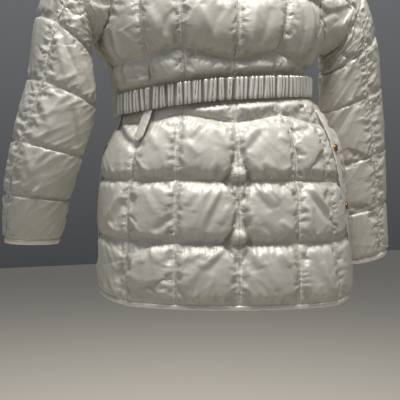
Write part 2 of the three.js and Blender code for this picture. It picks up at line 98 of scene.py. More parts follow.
# %% Driving sizes
SEAM_GAP = 0.3          # between two pieces that are sewn to each other
FRONT_GAP = 1.2         # between the two fronts, under the placket
SEWN = 2.0              # both cloth layers and the seam allowance, where they are stitched
SWELL_IN = 5.0          # how far the lining of a baffle stands into the body
SQUARENESS = 2.2        # 2 is an ellipse; more is flatter across the back and the fronts
HEM_LINE = -750.0       # last quilt line, where the hem binding starts
HEM_EDGE = -760.0       # lower edge of the hem binding
BINDING = 4.4           # thickness of a binding round the sewn edge
SHOULDER = -82.0        # the section that passes over both shoulder tips
UNDERARM = -258.0       # lowest point of an armhole
ARMHOLE_REACH = 26.0    # degrees from an armhole's middle to its back or front edge
BELT_HEIGHT = -357.0    # middle of the belt at the centre back
BELT_SLANT = -0.07      # its fall for each mm towards the wearer's left
BELT_SAG = 17.0         # and this much more at the wearer's left side
HALF_WAIST = 190.0
BELT_WIDTH = 40.0
BELT_THICK = 6.0
BELT_OFF = 12.0         # the belt hangs this far off the sewn surface
CINCH = 0.165           # how far the belt draws the body in, as a share of its size
CINCH_REACH = 66.0      # and how far above and below the belt
VENT_TOP = -390.75      # a side vent opens here, at the belt
VENT_GAP = 3.0
SIDE_GAP = 0.6          # between the panels at a side seam above its vent
FACING_WIDTH = 24.0
PLACKET_WIDTH = 52.0
STRIP_THICK = 2.4       # of a facing, the placket or the tab of the belt
SNAP_GAP = 0.8          # under a flat snap on a curved strip
VENT_SNAPS = (-464.0, -576.0)
FRONT_SNAPS = (-700.0, -590.0, -480.0, -290.0, -196.0, -102.0)
COLLAR_HEIGHT = 66.0
CUFF_BINDING = 12.0
CUFF_GAP = 1.0          # between a sleeve and its binding
FRONT_SEAM = 134.0      # degrees from the centre back to the long seam of each front
LOOP_END = -457.0       # sewn lower end of the belt loop
MM_PER_DEGREE = 3.2     # round the body at the back
WAY = {"left": 1, "right": -1}

# %% Tables


def table(names, *rows):
    """A table with named columns, as a list of rows."""
    return [dict(zip(names.split(), row)) for row in rows]


SECTIONS = table(
    "h half back front turn roll",
    (-760, 249, 152, 146, 13, 0.02),
    (-638, 246, 150, 144, 12, 0.016),
    (-525, 240, 146, 140, 11, 0.01),
    (-419, 229, 136, 132, 9, 0),
    (-306, 214, 134, 130, 3, 0),
    (-250, 225, 140, 138, 1, 0),
    (-194, 230, 138, 136, 0, 0),
    (-82, 214, 112, 108, 0, 0),
    (0, 78, 62, 68, 0, 0),
)
QUILT_LINES = table(
    "h middle outer side front",
    (-760, 0, 0, 13, 0),
    (-750, 0, 0, 13, 0),
    (-638, 0, 0, 6, 0),
    (-525, 2, 0, 0, 0),
    (-419, 17, 2, 0, 0),
    (-306, 20, 6, -8, 0),
    (-194, 20, 8, 0, -4),
    (-82, 10, 18, 32, -30),
    (0, 3, 6, 12, -70),
)
SEAMS = table(
    "h middleL outerL sideL middleR outerR sideR",
    (-760, 25, 51, 88, 25, 53, 84),
    (-638, 25, 51, 88, 25, 49, 71),
    (-525, 25, 50, 87, 25, 46, 60),
    (-419, 25, 47, 84, 24, 44, 55),
    (-360, 25, 46, 82, 23, 43, 62),
    (-306, 25, 46, 84, 23, 46, 76),
    (-258, 25, 46, 88, 23, 51, 87),
    (-194, 25, 46, 88, 24, 56, 89),
    (-82, 26, 50, 90, 26, 54, 90),
    (0, 28, 54, 90, 28, 54, 90),
)
SLEEVES = {
    "left": table(
        "x y z wide deep lift elbow under",
        (267, 2, -201, 69, 70, 68, 76, 232),
        (287, 2, -263, 56, 64, 38, 62, 226),
        (291, -2, -364, 61, 60, 23, 45, 216),
        (316, -16, -466, 61, 57, 14, 32, 208),
        (333, -38, -555, 56, 52, 7, 20, 200),
        (338, -66, -634, 50, 46, 2, 10, 194),
    ),
    "right": table(
        "x y z wide deep lift elbow under",
        (286, 0, -202, 72, 68, 66, 82, 232),
        (309, -6, -266, 64, 64, 40, 86, 234),
        (326, -18, -358, 64, 60, 25, 84, 234),
        (346, -30, -480, 61, 57, 19, 80, 232),
        (361, -38, -590, 56, 52, 16, 76, 230),
        (378, -44, -690, 50, 46, 14, 72, 228),
    ),
}
print("sections:", len(SECTIONS), "seam rows:", len(SEAMS))

# %% [markdown]
# ## The body surface
# A garment filled out as it is worn is a smooth tube of changing section. One function gives a point of it
# for an angle round the body and a height at the centre back. NumPy takes whole grids of angles and heights
# at once, which is much faster than asking for one point at a time.

# %% Surface functions


def column(rows, name, h):
    """One column of a table at the heights h, on a smooth curve that never swings past the table's values."""
    heights = np.array([row["h"] for row in rows], float)
    values = np.array([row[name] for row in rows], float)
    rises = np.diff(values) / np.diff(heights)
    product = rises[:-1] * rises[1:]
    total = np.where(product > 0, rises[:-1] + rises[1:], 1)
    inner = np.where(product > 0, 2 * product / total, 0)
    slopes = np.concatenate([rises[:1], inner, rises[-1:]])
    h = np.asarray(h, float)
    i = np.clip(np.searchsorted(heights, h, side="right") - 1, 0, len(rows) - 2)
    span = heights[i + 1] - heights[i]
    f = np.clip((h - heights[i]) / span, 0, 1)
    low = values[i] * (1 + 2 * f) * (1 - f) ** 2 + slopes[i] * span * f * (1 - f) ** 2
    return low + values[i + 1] * f * f * (3 - 2 * f) + slopes[i + 1] * span * f * f * (f - 1)


def unit(v):
    return v / np.maximum(np.linalg.norm(v, axis=-1, keepdims=True), 1e-9)


def seam(name, side, h):
    """Angle of a long seam at the heights h."""
    return WAY[side] * column(SEAMS, name + side[0].upper(), h)


def belt_height(x):
    return BELT_HEIGHT + BELT_SLANT * x - BELT_SAG * (np.maximum(0, x) / HALF_WAIST) ** 2


def rise(t, h):
    """How much higher than at the centre back the cloth of height h is, at the angles t."""
    a = np.abs(t)
    places, lifts = [np.zeros_like(a)], [np.zeros_like(a)]
    for name in ("middle", "outer", "side"):
        places.append(np.where(t >= 0, column(SEAMS, name + "L", h), column(SEAMS, name + "R", h)))
        lifts.append(column(QUILT_LINES, name, h))
    places.append(np.full_like(a, 180))
    lifts.append(column(QUILT_LINES, "front", h))
    result = lifts[0]
    for low, high, from_lift, to_lift in zip(places, places[1:], lifts, lifts[1:]):
        share = np.clip((a - low) / (high - low), 0, 1)
        result = np.where(a >= low, from_lift + (to_lift - from_lift) * share, result)
    return result


def surface(t, h):
    """Points of the body, in millimetres."""
    t, h = np.broadcast_arrays(np.asarray(t, float), np.asarray(h, float))
    t = t - 360 * np.round(t / 360)
    names = ("half", "back", "front", "turn", "roll")
    half, back, front, turn, roll = (column(SECTIONS, name, h) for name in names)
    sine, cosine = np.sin(np.radians(t)), np.cos(np.radians(t))
    power = 2 / SQUARENESS
    z = h + rise(t, h)
    across = half * np.sign(sine) * np.abs(sine) ** power
    along = np.where(cosine > 0, back, front) * np.sign(cosine) * np.abs(cosine) ** power
    drawn = 1 - CINCH * np.exp(-(((z - belt_height(across)) / CINCH_REACH) ** 2))
    across, along = across * drawn, along * drawn
    turned = np.radians(turn)
    x = across * np.cos(turned) + along * np.sin(turned) - back * drawn * np.sin(turned)
    y = along * np.cos(turned) - across * np.sin(turned)
    return np.stack([x, y, z + roll * x], -1)


def outward(t, h):
    t, h = np.broadcast_arrays(np.asarray(t, float), np.asarray(h, float))
    up = surface(t, np.minimum(h + 0.5, -0.01)) - surface(t, h - 0.5)
    around = surface(t + 0.5, h) - surface(t - 0.5, h)
    return unit(np.cross(up, around))


def besides(t, h, distance):
    """The angle that lies a distance in millimetres further round from t."""
    distance = np.asarray(distance, float)
    step = 0.4 * np.where(distance < 0, -1, 1)
    reach = np.linalg.norm(surface(t + step, h) - surface(t, h), axis=-1)
    return t + step * np.abs(distance) / reach


print("centre back at the hem:", surface(0, HEM_EDGE).round(1))

# %% [markdown]
# ## Camera, floor and light
# The jacket is seen from behind and a little from the wearer's left, by a 70 mm lens about a metre and a half
# away. A wide pale floor and a soft overhead light, such as a shop's ceiling panels, make the satin shine
# on top of every baffle and leave its underside in shade.

# %% Camera
camera_data = bpy.data.cameras.new("camera")
camera_data.lens = 70
camera_data.sensor_width = 36
camera = bpy.data.objects.new("camera", camera_data)
bpy.context.collection.objects.link(camera)
camera.location = Vector((0.5439, 1.4369, -0.487))
pitch, heading = math.radians(-2.944), math.radians(20)   # it looks a little down, and 20 degrees off square
level = math.cos(pitch)
looking = Vector((-math.sin(heading) * level, -math.cos(heading) * level, math.sin(pitch)))
camera.rotation_mode = "QUATERNION"
camera.rotation_quaternion = looking.to_track_quat("-Z", "Y")
bpy.context.scene.camera = camera
print("camera stands", round(camera.location.xy.length, 2), "m from the jacket's middle")

# %% Colours


def hex_color(text):
    """An sRGB hex colour as linear RGBA."""
    parts = [int(text[i:i + 2], 16) / 255 for i in (1, 3, 5)]
    return [c / 12.92 if c <= 0.04045 else ((c + 0.055) / 1.055) ** 2.4 for c in parts] + [1.0]


def node(tree, kind, links=(), **settings):
    """Adds a node, sets its properties and input values, and links (input, output socket) pairs."""
    made = tree.nodes.new(kind)
    for key, value in settings.items():
        if hasattr(made, key):
            setattr(made, key, value)
        else:
            made.inputs[key.replace("_", " ")].default_value = value
    for name, socket in links:
        tree.links.new(made.inputs[name], socket)
    return made


# %% Light and floor
FLOOR_HEIGHT = -1.5    # the neck is 1.5 m above the floor, as when it is worn
FLOOR_REACH = 6        # half its width in metres
world = bpy.data.worlds.new("studio")
world.use_nodes = True
world.node_tree.nodes["Background"].inputs["Color"].default_value = hex_color("#E9EDF2")
sky = world.node_tree
direction = node(sky, "ShaderNodeTexCoord").outputs["Generated"]
toward = node(sky, "ShaderNodeSeparateXYZ", [("Vector", direction)])
height = node(sky, "ShaderNodeMapRange", [("Value", toward.outputs["Z"])])
for key, value in (("From Min", -0.2), ("From Max", 0.9), ("To Min", 0.05), ("To Max", 0.38)):
    height.inputs[key].default_value = value
sky.links.new(sky.nodes["Background"].inputs["Strength"], height.outputs["Result"])
bpy.context.scene.world = world
bpy.context.scene.view_settings.view_transform = "Standard"


def area_light(name, place, target, size, power, color):
    data = bpy.data.lights.new(name, "AREA")
    data.shape = "RECTANGLE"
    data.size, data.size_y = size
    data.energy = power
    data.color = hex_color(color)[:3]
    lamp = bpy.data.objects.new(name, data)
    bpy.context.collection.objects.link(lamp)
    lamp.location = place
    lamp.rotation_mode = "QUATERNION"
    lamp.rotation_quaternion = (Vector(target) - Vector(place)).to_track_quat("-Z", "Y")


area_light("ceiling", (0.2, 0.82, 1.5), (0, 0.1, -0.4), (0.8, 0.5), 66, "#FFFEFC")
area_light("ceiling_strip", (0.1, 1.3, 1.3), (0, 0.1, -0.45), (0.8, 0.1), 4, "#FFFAF2")
area_light("ceiling_front", (-0.3, -1.5, 1.5), (0, 0, -0.4), (1.3, 0.6), 60, "#FFFAF2")
area_light("side_left", (2.0, 1.3, 0.2), (0, 0.1, -0.45), (0.25, 1.3), 6, "#F2F6FF")
area_light("side_right", (-1.9, 1.0, 0.3), (0, 0.1, -0.45), (0.2, 1.2), 4, "#FFF6EA")

floor_mesh = bpy.data.meshes.new("floor")
shape = bmesh.new()
bmesh.ops.create_grid(shape, x_segments=1, y_segments=1, size=FLOOR_REACH)
bmesh.ops.translate(shape, verts=shape.verts, vec=(0, 0, FLOOR_HEIGHT))
shape.to_mesh(floor_mesh)
shape.free()
floor = bpy.data.objects.new("floor", floor_mesh)
bpy.context.collection.objects.link(floor)
paper = bpy.data.materials.new("pale floor paint")
paper.use_nodes = True
paper.node_tree.nodes["Principled BSDF"].inputs["Base Color"].default_value = hex_color("#B0ABA2")
paper.node_tree.nodes["Principled BSDF"].inputs["Roughness"].default_value = 0.7
floor_mesh.materials.append(paper)
floor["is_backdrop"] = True
print("camera, five lamps and a floor")

# %% [markdown]
# ## Satin nylon
# The shell is a champagne-coloured nylon satin: fine filament yarn, woven so that long floats lie side by
# side. That gives a soft, broad gloss, neither matt nor mirror-like. The weave itself is far below what a
# view of a whole jacket shows, so it is drawn coarser than real, and the small crumple that down and
# stitches leave in thin cloth is a second, larger bump.

# %% Satin material
TWIN = 2.7   # from a seam or quilt line to the row of stitches on each side of it
STITCH = 3.4  # length of one stitch and its gap


def satin(name, color, shade, roughness, crumple, stitched, valley=None):
    """Satin cloth. Its colour varies a little at random between base and shade, stitched cloth shows its
    thread,
    and valley is a painted shade: a darker colour laid deep between two gathers, where little light gets in."""
    material = bpy.data.materials.new(name)
    material.use_nodes = True
    tree = material.node_tree
    shader = tree.nodes["Principled BSDF"]
    shader.inputs["Roughness"].default_value = roughness
    shader.inputs["Metallic"].default_value = 0.28
    shader.inputs["IOR"].default_value = 1.53
    place = node(tree, "ShaderNodeTexCoord").outputs["Object"]
    # Colour patches are about 110 mm wide and small crumples 9 mm. The drawn weave is 1 mm, the real one 0.2.
    broad = node(tree, "ShaderNodeTexNoise", [("Vector", place)], Scale=9.0, Detail=2.0)
    tint = node(tree, "ShaderNodeMix", [("Factor", broad.outputs["Fac"])], data_type="RGBA")
    tint.inputs["A"].default_value = hex_color(color)
    tint.inputs["B"].default_value = hex_color(shade)
    small = node(tree, "ShaderNodeTexNoise", [("Vector", place)], Scale=110.0, Detail=3.0, Roughness=0.6)
    weave = node(tree, "ShaderNodeTexNoise", [("Vector", place)], Scale=900.0, Detail=1.0)
    longer = node(tree, "ShaderNodeMapping", [("Vector", place)], Scale=(230.0, 230.0, 38.0),
                  Rotation=(0.2, 0.2, 0))
    streaks = node(tree, "ShaderNodeTexNoise", [("Vector", longer.outputs["Vector"])], Scale=1.0, Detail=2.0)
    relief = node(tree, "ShaderNodeMath", [(0, small.outputs["Fac"])], operation="MULTIPLY").outputs[0]
    relief.node.inputs[1].default_value = crumple
    relief = added(tree, relief, streaks.outputs["Fac"], 0.4 * crumple)
    relief = added(tree, relief, weave.outputs["Fac"], 0.03)
    surface_color = tint.outputs["Result"]
    if stitched:
        relief = added(tree, relief, creases(tree, "seaming", (0.09, 0.30), (4, 11)), 2.2)
        relief = added(tree, relief, creases(tree, "seaming", (0.05, 0.11), (6, 34)), 1.1)
        relief = added(tree, relief, creases(tree, "quilting", (0.016, 0.12), (8, 56)), 2.6)
        thread = thread_mask(tree)
        relief = added(tree, relief, thread, 0.4)
        paler = node(tree, "ShaderNodeMix", [("Factor", thread), ("A", surface_color)], data_type="RGBA")
        paler.inputs["B"].default_value = hex_color("#DEDACF")
        surface_color = paler.outputs["Result"]
    # Painted shade: where the gather mask is low, deep in a valley, the colour turns towards the dark valley
    # colour.
    if valley:
        ridge = node(tree, "ShaderNodeAttribute", attribute_name="gather").outputs["Vector"]
        share = node(tree, "ShaderNodeSeparateXYZ", [("Vector", ridge)]).outputs["X"]
        deep = node(tree, "ShaderNodeMix", [("Factor", share), ("B", surface_color)], data_type="RGBA")
        deep.inputs["A"].default_value = hex_color(valley)
        surface_color = deep.outputs["Result"]
    bump = node(tree, "ShaderNodeBump", [("Height", relief)], Strength=1.0, Distance=0.001)
    tree.links.new(shader.inputs["Base Color"], surface_color)
    tree.links.new(shader.inputs["Normal"], bump.outputs["Normal"])
    return material


def added(tree, relief, more, weight):
    """The relief with some more of another pattern, in mm."""
    total = node(tree, "ShaderNodeMath", [(0, more), (2, relief)], operation="MULTIPLY_ADD")
    total.inputs[1].default_value = weight
    return total.outputs[0]


def creases(tree, attribute, scale, fade):
    """Fine sharp creases that run away from stitched rows and fade over the given mm. scale is how many of
    them there are to a mm, across and along."""
    place = node(tree, "ShaderNodeAttribute", attribute_name=attribute).outputs["Vector"]
    drawn = node(tree, "ShaderNodeMapping", [("Vector", place)], Scale=(scale[0], scale[1], 3.0))
    cloud = node(tree, "ShaderNodeTexNoise", [("Vector", drawn.outputs["Vector"])], Scale=1.0, Detail=2.0,
                 Distortion=0.7)
    middle = node(tree, "ShaderNodeMath", [(0, cloud.outputs["Fac"])], operation="SUBTRACT")
    middle.inputs[1].default_value = 0.5
    sharp = node(tree, "ShaderNodeMath", [(0, middle.outputs[0])], operation="ABSOLUTE")
    away = node(tree, "ShaderNodeSeparateXYZ", [("Vector", place)]).outputs["X"]
    band = node(tree, "ShaderNodeMapRange", [("Value", away)], interpolation_type="SMOOTHSTEP")
    for key, value in (("From Min", fade[0]), ("From Max", fade[1]), ("To Min", -1.0), ("To Max", 0.0)):
        band.inputs[key].default_value = value
    return node(tree, "ShaderNodeMath", [(0, sharp.outputs[0]), (1, band.outputs["Result"])],
                operation="MULTIPLY").outputs[0]


def thread_mask(tree):
    """1 on a stitch and 0 beside it. Each piece carries, for quilt lines and for seams, the distance across
    and the way along, in millimetres."""
    masks = []
    for name in ("quilting", "seaming"):
        place = node(tree, "ShaderNodeAttribute", attribute_name=name)
        parts = node(tree, "ShaderNodeSeparateXYZ", [("Vector", place.outputs["Vector"])])
        away = node(tree, "ShaderNodeMath", [(0, parts.outputs["X"])], operation="ABSOLUTE")
        off = node(tree, "ShaderNodeMath", [(0, away.outputs[0])], operation="SUBTRACT")
        off.inputs[1].default_value = TWIN
        near = node(tree, "ShaderNodeMath", [(0, off.outputs[0])], operation="ABSOLUTE")
        on_row = node(tree, "ShaderNodeMapRange", [("Value", near.outputs[0])],
                      interpolation_type="SMOOTHSTEP")
        on_row.inputs["From Min"].default_value = 0.25
        on_row.inputs["From Max"].default_value = 0.75
        on_row.inputs["To Min"].default_value = 1.0
        on_row.inputs["To Max"].default_value = 0.0
        cycle = node(tree, "ShaderNodeMath", [(0, parts.outputs["Y"])], operation="PINGPONG")
        cycle.inputs[1].default_value = STITCH / 2
        dash = node(tree, "ShaderNodeMapRange", [("Value", cycle.outputs[0])],
                    interpolation_type="SMOOTHSTEP")
        dash.inputs["From Min"].default_value = 0.25
        dash.inputs["From Max"].default_value = 0.75
        both = node(tree, "ShaderNodeMath", [(0, on_row.outputs["Result"]), (1, dash.outputs["Result"])],
                    operation="MULTIPLY")
        masks.append(both.outputs[0])
    return node(tree, "ShaderNodeMath", [(0, masks[0]), (1, masks[1])], operation="MAXIMUM").outputs[0]


SHELL = satin("nylon satin, quilted", "#C9C6BE", "#B3B0A6", 0.56, 0.5, True)
PLAIN = satin("nylon satin, plain", "#CAC8C2", "#BEBBB4", 0.36, 0.25, False)
TRIM = satin("polyester satin binding", "#DEDAD1", "#D3CFC5", 0.3, 0.2, False)
# The belt's dark #7A7468 is painted shade, for the valleys between its gathers.
BAND = satin("nylon satin, gathered", "#D2D0CA", "#C4C1BA", 0.27, 0.15, False, "#7A7468")
LINING = satin("nylon taffeta lining", "#ADA79B", "#A39D91", 0.5, 0.3, False)

# %% [markdown]
# Snaps are pressed brass, polished and lacquered. Brass is a metal, so its colour is the colour of its
# reflections, and that colour and its roughness vary a little from place to place.

# %% Brass
BRASS = bpy.data.materials.new("polished brass")
BRASS.use_nodes = True
brass_tree = BRASS.node_tree
brass_shader = brass_tree.nodes["Principled BSDF"]
brass_shader.inputs["Metallic"].default_value = 1.0
brass_place = node(brass_tree, "ShaderNodeTexCoord").outputs["Object"]
brass_noise = node(brass_tree, "ShaderNodeTexNoise", [("Vector", brass_place)], Scale=400.0, Detail=3.0)
brass_tint = node(brass_tree, "ShaderNodeMix", [("Factor", brass_noise.outputs["Fac"])], data_type="RGBA")
brass_tint.inputs["A"].default_value = hex_color("#B98A3E")
brass_tint.inputs["B"].default_value = hex_color("#8A5C22")
brass_tree.links.new(brass_shader.inputs["Base Color"], brass_tint.outputs["Result"])
brass_wear = node(brass_tree, "ShaderNodeMapRange", [("Value", brass_noise.outputs["Fac"])])
brass_wear.inputs["To Min"].default_value = 0.2
brass_wear.inputs["To Max"].default_value = 0.4
brass_tree.links.new(brass_shader.inputs["Roughness"], brass_wear.outputs["Result"])
print("materials:", [m.name for m in (SHELL, PLAIN, TRIM, BAND, LINING, BRASS)])

# %% [markdown]
# ## Grids
# Every cloth piece is a grid of points, so the grid operator makes its mesh and the points are then moved to
# their places. A wall is such a grid, extruded as a whole, with the copy moved to the inner points.

# %% Grid helpers


def grid_mesh(name, points):
    """A mesh of rows by columns. points are millimetres, and columns run to the right seen from outside."""
    rows, columns = points.shape[:2]
    made = bmesh.new()
    bmesh.ops.create_grid(made, x_segments=columns - 1, y_segments=rows - 1, size=1)
    mesh = bpy.data.meshes.new(name)
    made.to_mesh(mesh)
    made.free()
    mesh.vertices.foreach_set("co", (points * MM).astype(np.float32).ravel())
    mesh.update()
    return mesh


def set_attribute(mesh, name, values):
    layer = mesh.attributes.new(name, "FLOAT_VECTOR", "POINT")
    layer.data.foreach_set("vector", values.astype(np.float32).ravel())


def wall(name, mesh, inner, outside, inside=None, crisp=False):
    """Closes a grid mesh with an inner grid of points, and makes it an object with its materials. Two crisp
    edges that meet at a seam read as one surface."""
    made = bmesh.new()
    made.from_mesh(mesh)
    place = made.verts.layers.int.new("place")
    for number, vertex in enumerate(made.verts):
        vertex[place] = number
    bmesh.ops.remove_doubles(made, verts=made.verts[:], dist=1e-7)
    for edge in made.edges:
        edge.smooth = not (crisp and edge.is_boundary)
    whole = made.verts[:] + made.edges[:] + made.faces[:]
    copy = bmesh.ops.extrude_face_region(made, geom=whole, use_keep_orig=True)["geom"]
    places = (inner * MM).reshape(-1, 3)
    for part in copy:
        if isinstance(part, bmesh.types.BMVert):
            part.co = places[part[place]]
        elif isinstance(part, bmesh.types.BMFace):
            part.material_index = 1 if inside else 0
    made.verts.layers.int.remove(place)
    bmesh.ops.recalc_face_normals(made, faces=made.faces[:])
    if made.calc_volume(signed=True) < 0:
        bmesh.ops.reverse_faces(made, faces=made.faces[:])
    for face in made.faces:
        face.smooth = True
    made.to_mesh(mesh)
    made.free()
    return cloth_object(name, mesh, outside, inside)


def cloth_object(name, mesh, outside, inside=None):
    mesh.materials.append(outside)
    if inside:
        mesh.materials.append(inside)
    thing = bpy.data.objects.get(name + "_look") or bpy.data.objects.new(name + "_look", mesh)
    thing.data = mesh
    if thing.name not in bpy.context.collection.objects:
        bpy.context.collection.objects.link(thing)
    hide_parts(name)
    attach(thing, "root")
    return thing


def stops(places, pitch):
    """Every given place, and even steps of about the pitch between them."""
    result = [places[0]]
    for low, high in zip(places, places[1:]):
        steps = max(1, round((high - low) / pitch))
        result += list(np.linspace(low, high, steps + 1)[1:])
    return np.array(result)


COARSE = 1.0
PITCH = 2.7 * COARSE          # at the back and on the sleeves
PITCH_FRONT = 4.2 * COARSE
print("cloth is drawn every", PITCH, "mm, and", PITCH_FRONT, "at the front")

# %% [markdown]
# ## Quilted panels
# A down panel is two layers of cloth, stitched together along quilt lines by twin rows of stitches and filled
# with down between them. The cut cloth is longer than the seams that hold it, so it puffs out and gathers
# where it is stitched. The same happens here: each panel starts as a grid on the sewn surface, its stitched
# rows are pinned, its springs get the longer lengths of the cut, and air pressure stands for the down.

# %% Rows up the body
LINES = [HEM_LINE, -638.0, -525.0, -419.0, -306.0, -194.0, SHOULDER, -SEAM_GAP]
ARMHOLE_MIDDLE = (SHOULDER + UNDERARM) / 2
ARMHOLE_HALF = (SHOULDER - UNDERARM) / 2


def armhole_reach(h):
    """How far in degrees an armhole's edge is from its middle at the heights h."""
    return ARMHOLE_REACH * np.sqrt(np.maximum(0, 1 - ((h - ARMHOLE_MIDDLE) / ARMHOLE_HALF) ** 2))


def armhole_height(angle):
    return ARMHOLE_MIDDLE + ARMHOLE_HALF * np.cos(np.radians(angle))


def body_rows(pitch):
    places = [HEM_LINE, HEM_LINE + TWIN]
    for line in LINES[1:-1]:
        places += [line - TWIN, line, line + TWIN]
    places += [float(armhole_height(a)) for a in (180, 170, 162, 155, 20, 12)]
    return stops(sorted(places + [LINES[-1] - TWIN, LINES[-1]]), pitch)


def bulge(f):
    """0 on a line and 1 in the middle between two, rising fast from the stitches."""
    return np.sin(np.pi * np.clip(f, 0, 1)) ** 0.65


def between(lines, h):
    """Which stretch between two lines h is in, and the share of it."""
    lines = np.asarray(lines, float)
    i = np.clip(np.searchsorted(lines, h, side="right") - 1, 0, len(lines) - 2)
    return i, (h - lines[i]) / (lines[i + 1] - lines[i])


def pressed(points):
    """The belt presses the down flat where it runs: 0 under it and 1 well away from it."""
    away = np.abs(points[..., 2] - belt_height(points[..., 0]))
    f = np.clip((away - BELT_WIDTH * 0.52) / (BELT_WIDTH * 0.5), 0, 1)
    return f * f * (3 - 2 * f)


def under_tape(t, h):
    """The belt loop presses the down below it in the same way: near 0 below it and 1 beside it."""
    away = (t - seam("outer", "left", h)) * MM_PER_DEGREE
    past = np.maximum(0, LOOP_END - 6 - h)
    return 1 - 0.8 * np.exp(-((away / 15) ** 4) - (past / 10) ** 2) * (h < BELT_HEIGHT)


# %% Edges of the panels


def side_gap(h):
    return np.where(h < VENT_TOP, VENT_GAP, SIDE_GAP)


def panel_edges(piece, side, h):
    """The angles of a panel's two edges at the heights h, with the smaller angle first."""
    way = WAY[side]
    middle, outer, edge = (seam(n, side, h) for n in ("middle", "outer", "side"))
    reach = way * armhole_reach(h)
    half = way * SEAM_GAP / 2
    pairs = {
        "back_centre": ((0 * h, half), (middle, -half)),
        "back_middle": ((middle, half), (outer, -half)),
        "back_side": ((outer, half), (edge - reach, -way * side_gap(h) / 2)),
        "front_side": ((edge + reach, way * side_gap(h) / 2), (way * FRONT_SEAM + 0 * h, -half)),
        "front_centre": ((way * FRONT_SEAM + 0 * h, half), (way * 180 + 0 * h, -way * FRONT_GAP / 2)),
    }
    a, b = (besides(angle, h, distance) for angle, distance in pairs[piece])
    return (a, b) if way > 0 else (b, a)


print("rows up the back:", len(body_rows(PITCH)))

# %% [markdown]
# Cloth is longer than its seams in both directions, most of all along the long seams, which are ruched. The
# springs of the simulated cloth are therefore longer than the space they lie in: by EASE in the middle of a
# panel, and by EASE_RUCHED at a long seam.

# %% Quilted sheets
EASE = 0.07
EASE_RUCHED = 0.13
RUCHED_WIDTH = 13.0   # the ease of a long seam fades over this many mm
START_PUFF = 8.0      # the cloth starts this far out, so that all of it buckles outwards
rng = np.random.default_rng(7)


def quilted_sheet(name, base, normal, puff, sewn, from_seam):
    """A pinned grid for one panel. base and normal are its sewn surface, puff is 0 to 1, sewn marks stitched
    points, and from_seam is the distance to the nearest long seam in mm."""
    uneven = rng.normal(0, 0.12, puff.shape) * (puff > 0)
    start = base + normal * (SEWN / 2 + START_PUFF * puff + uneven)[..., None]
    mesh = grid_mesh(name, start)
    thing = bpy.data.objects.new(name + "_look", mesh)
    bpy.context.collection.objects.link(thing)
    group = thing.vertex_groups.new(name="sewn")
    group.add([int(i) for i in np.nonzero(sewn.ravel())[0]], 1.0, "REPLACE")
    smooth_part = thing.vertex_groups.new(name="smooth part")
    smooth = 1 - np.exp(-((from_seam / RUCHED_WIDTH) ** 2)) + 0 * puff
    for number, weight in enumerate(smooth.ravel()):
        smooth_part.add([number], float(weight), "REPLACE")
    return thing


def add_cloth(thing):
    modifier = thing.modifiers.new("down", "CLOTH")
    settings = modifier.settings
    settings.quality = 5
    settings.mass = 0.05
    settings.tension_stiffness = settings.compression_stiffness = 20
    settings.shear_stiffness = 6
    settings.bending_stiffness = 0.06
    settings.tension_damping = settings.compression_damping = settings.shear_damping = 5
    settings.bending_damping = 0.5
    settings.vertex_group_mass = "sewn"
    settings.vertex_group_shrink = "smooth part"
    settings.shrink_min = -EASE_RUCHED
    settings.shrink_max = -EASE
    settings.use_pressure = True
    settings.uniform_pressure_force = 12.0
    settings.use_pressure_volume = True
    settings.target_volume = 0
    settings.effector_weights.gravity = 0
    modifier.collision_settings.use_collision = False
    modifier.point_cache.frame_start = 1
    modifier.point_cache.frame_end = 30


# %% Body panels
quilts = {}
MOST_PUFF = 9.5       # how far a baffle's cloth swells past its sewn surface
SEAM_LIFT = 6.0       # a long seam rides this high on the down between two quilt lines
SIDE_PUFF = 0.65      # the side panels are filled less: these are their shares of the two
SIDE_LIFT = 0.4
LINE_SINK = 3.0       # the stitches of a quilt line pull the cloth in this far
SINK_REACH = 11.0
FULL_WIDTH = 90.0     # a narrower panel can't swell as much
PLAIN_FADE = 20.0     # beside a plain edge the down begins over this many mm
SEAMS_OF = {"back_centre": ("centre", "middle"), "back_middle": ("middle", "outer"),
            "back_side": ("outer", "side"), "front_side": ("side", "front"),
            "front_centre": ("front", "edge")}


def seams_beside(piece, side, from_low, from_high):
    """The two long seams of a panel, with how far each point is from them; left of a seam counts as plus."""
    near, far = SEAMS_OF[piece]
    near_away, far_away = (from_low, -from_high) if WAY[side] > 0 else (-from_high, from_low)
    return [(near if near == "centre" else near + side, near_away), (far + side, far_away)]


PIECES = ("back_centre", "back_middle", "back_side", "front_side", "front_centre")
PLAIN_EDGE = {"front_side": (FACING_WIDTH + 2, 0), "front_centre": (0, PLACKET_WIDTH / 2 + 2)}


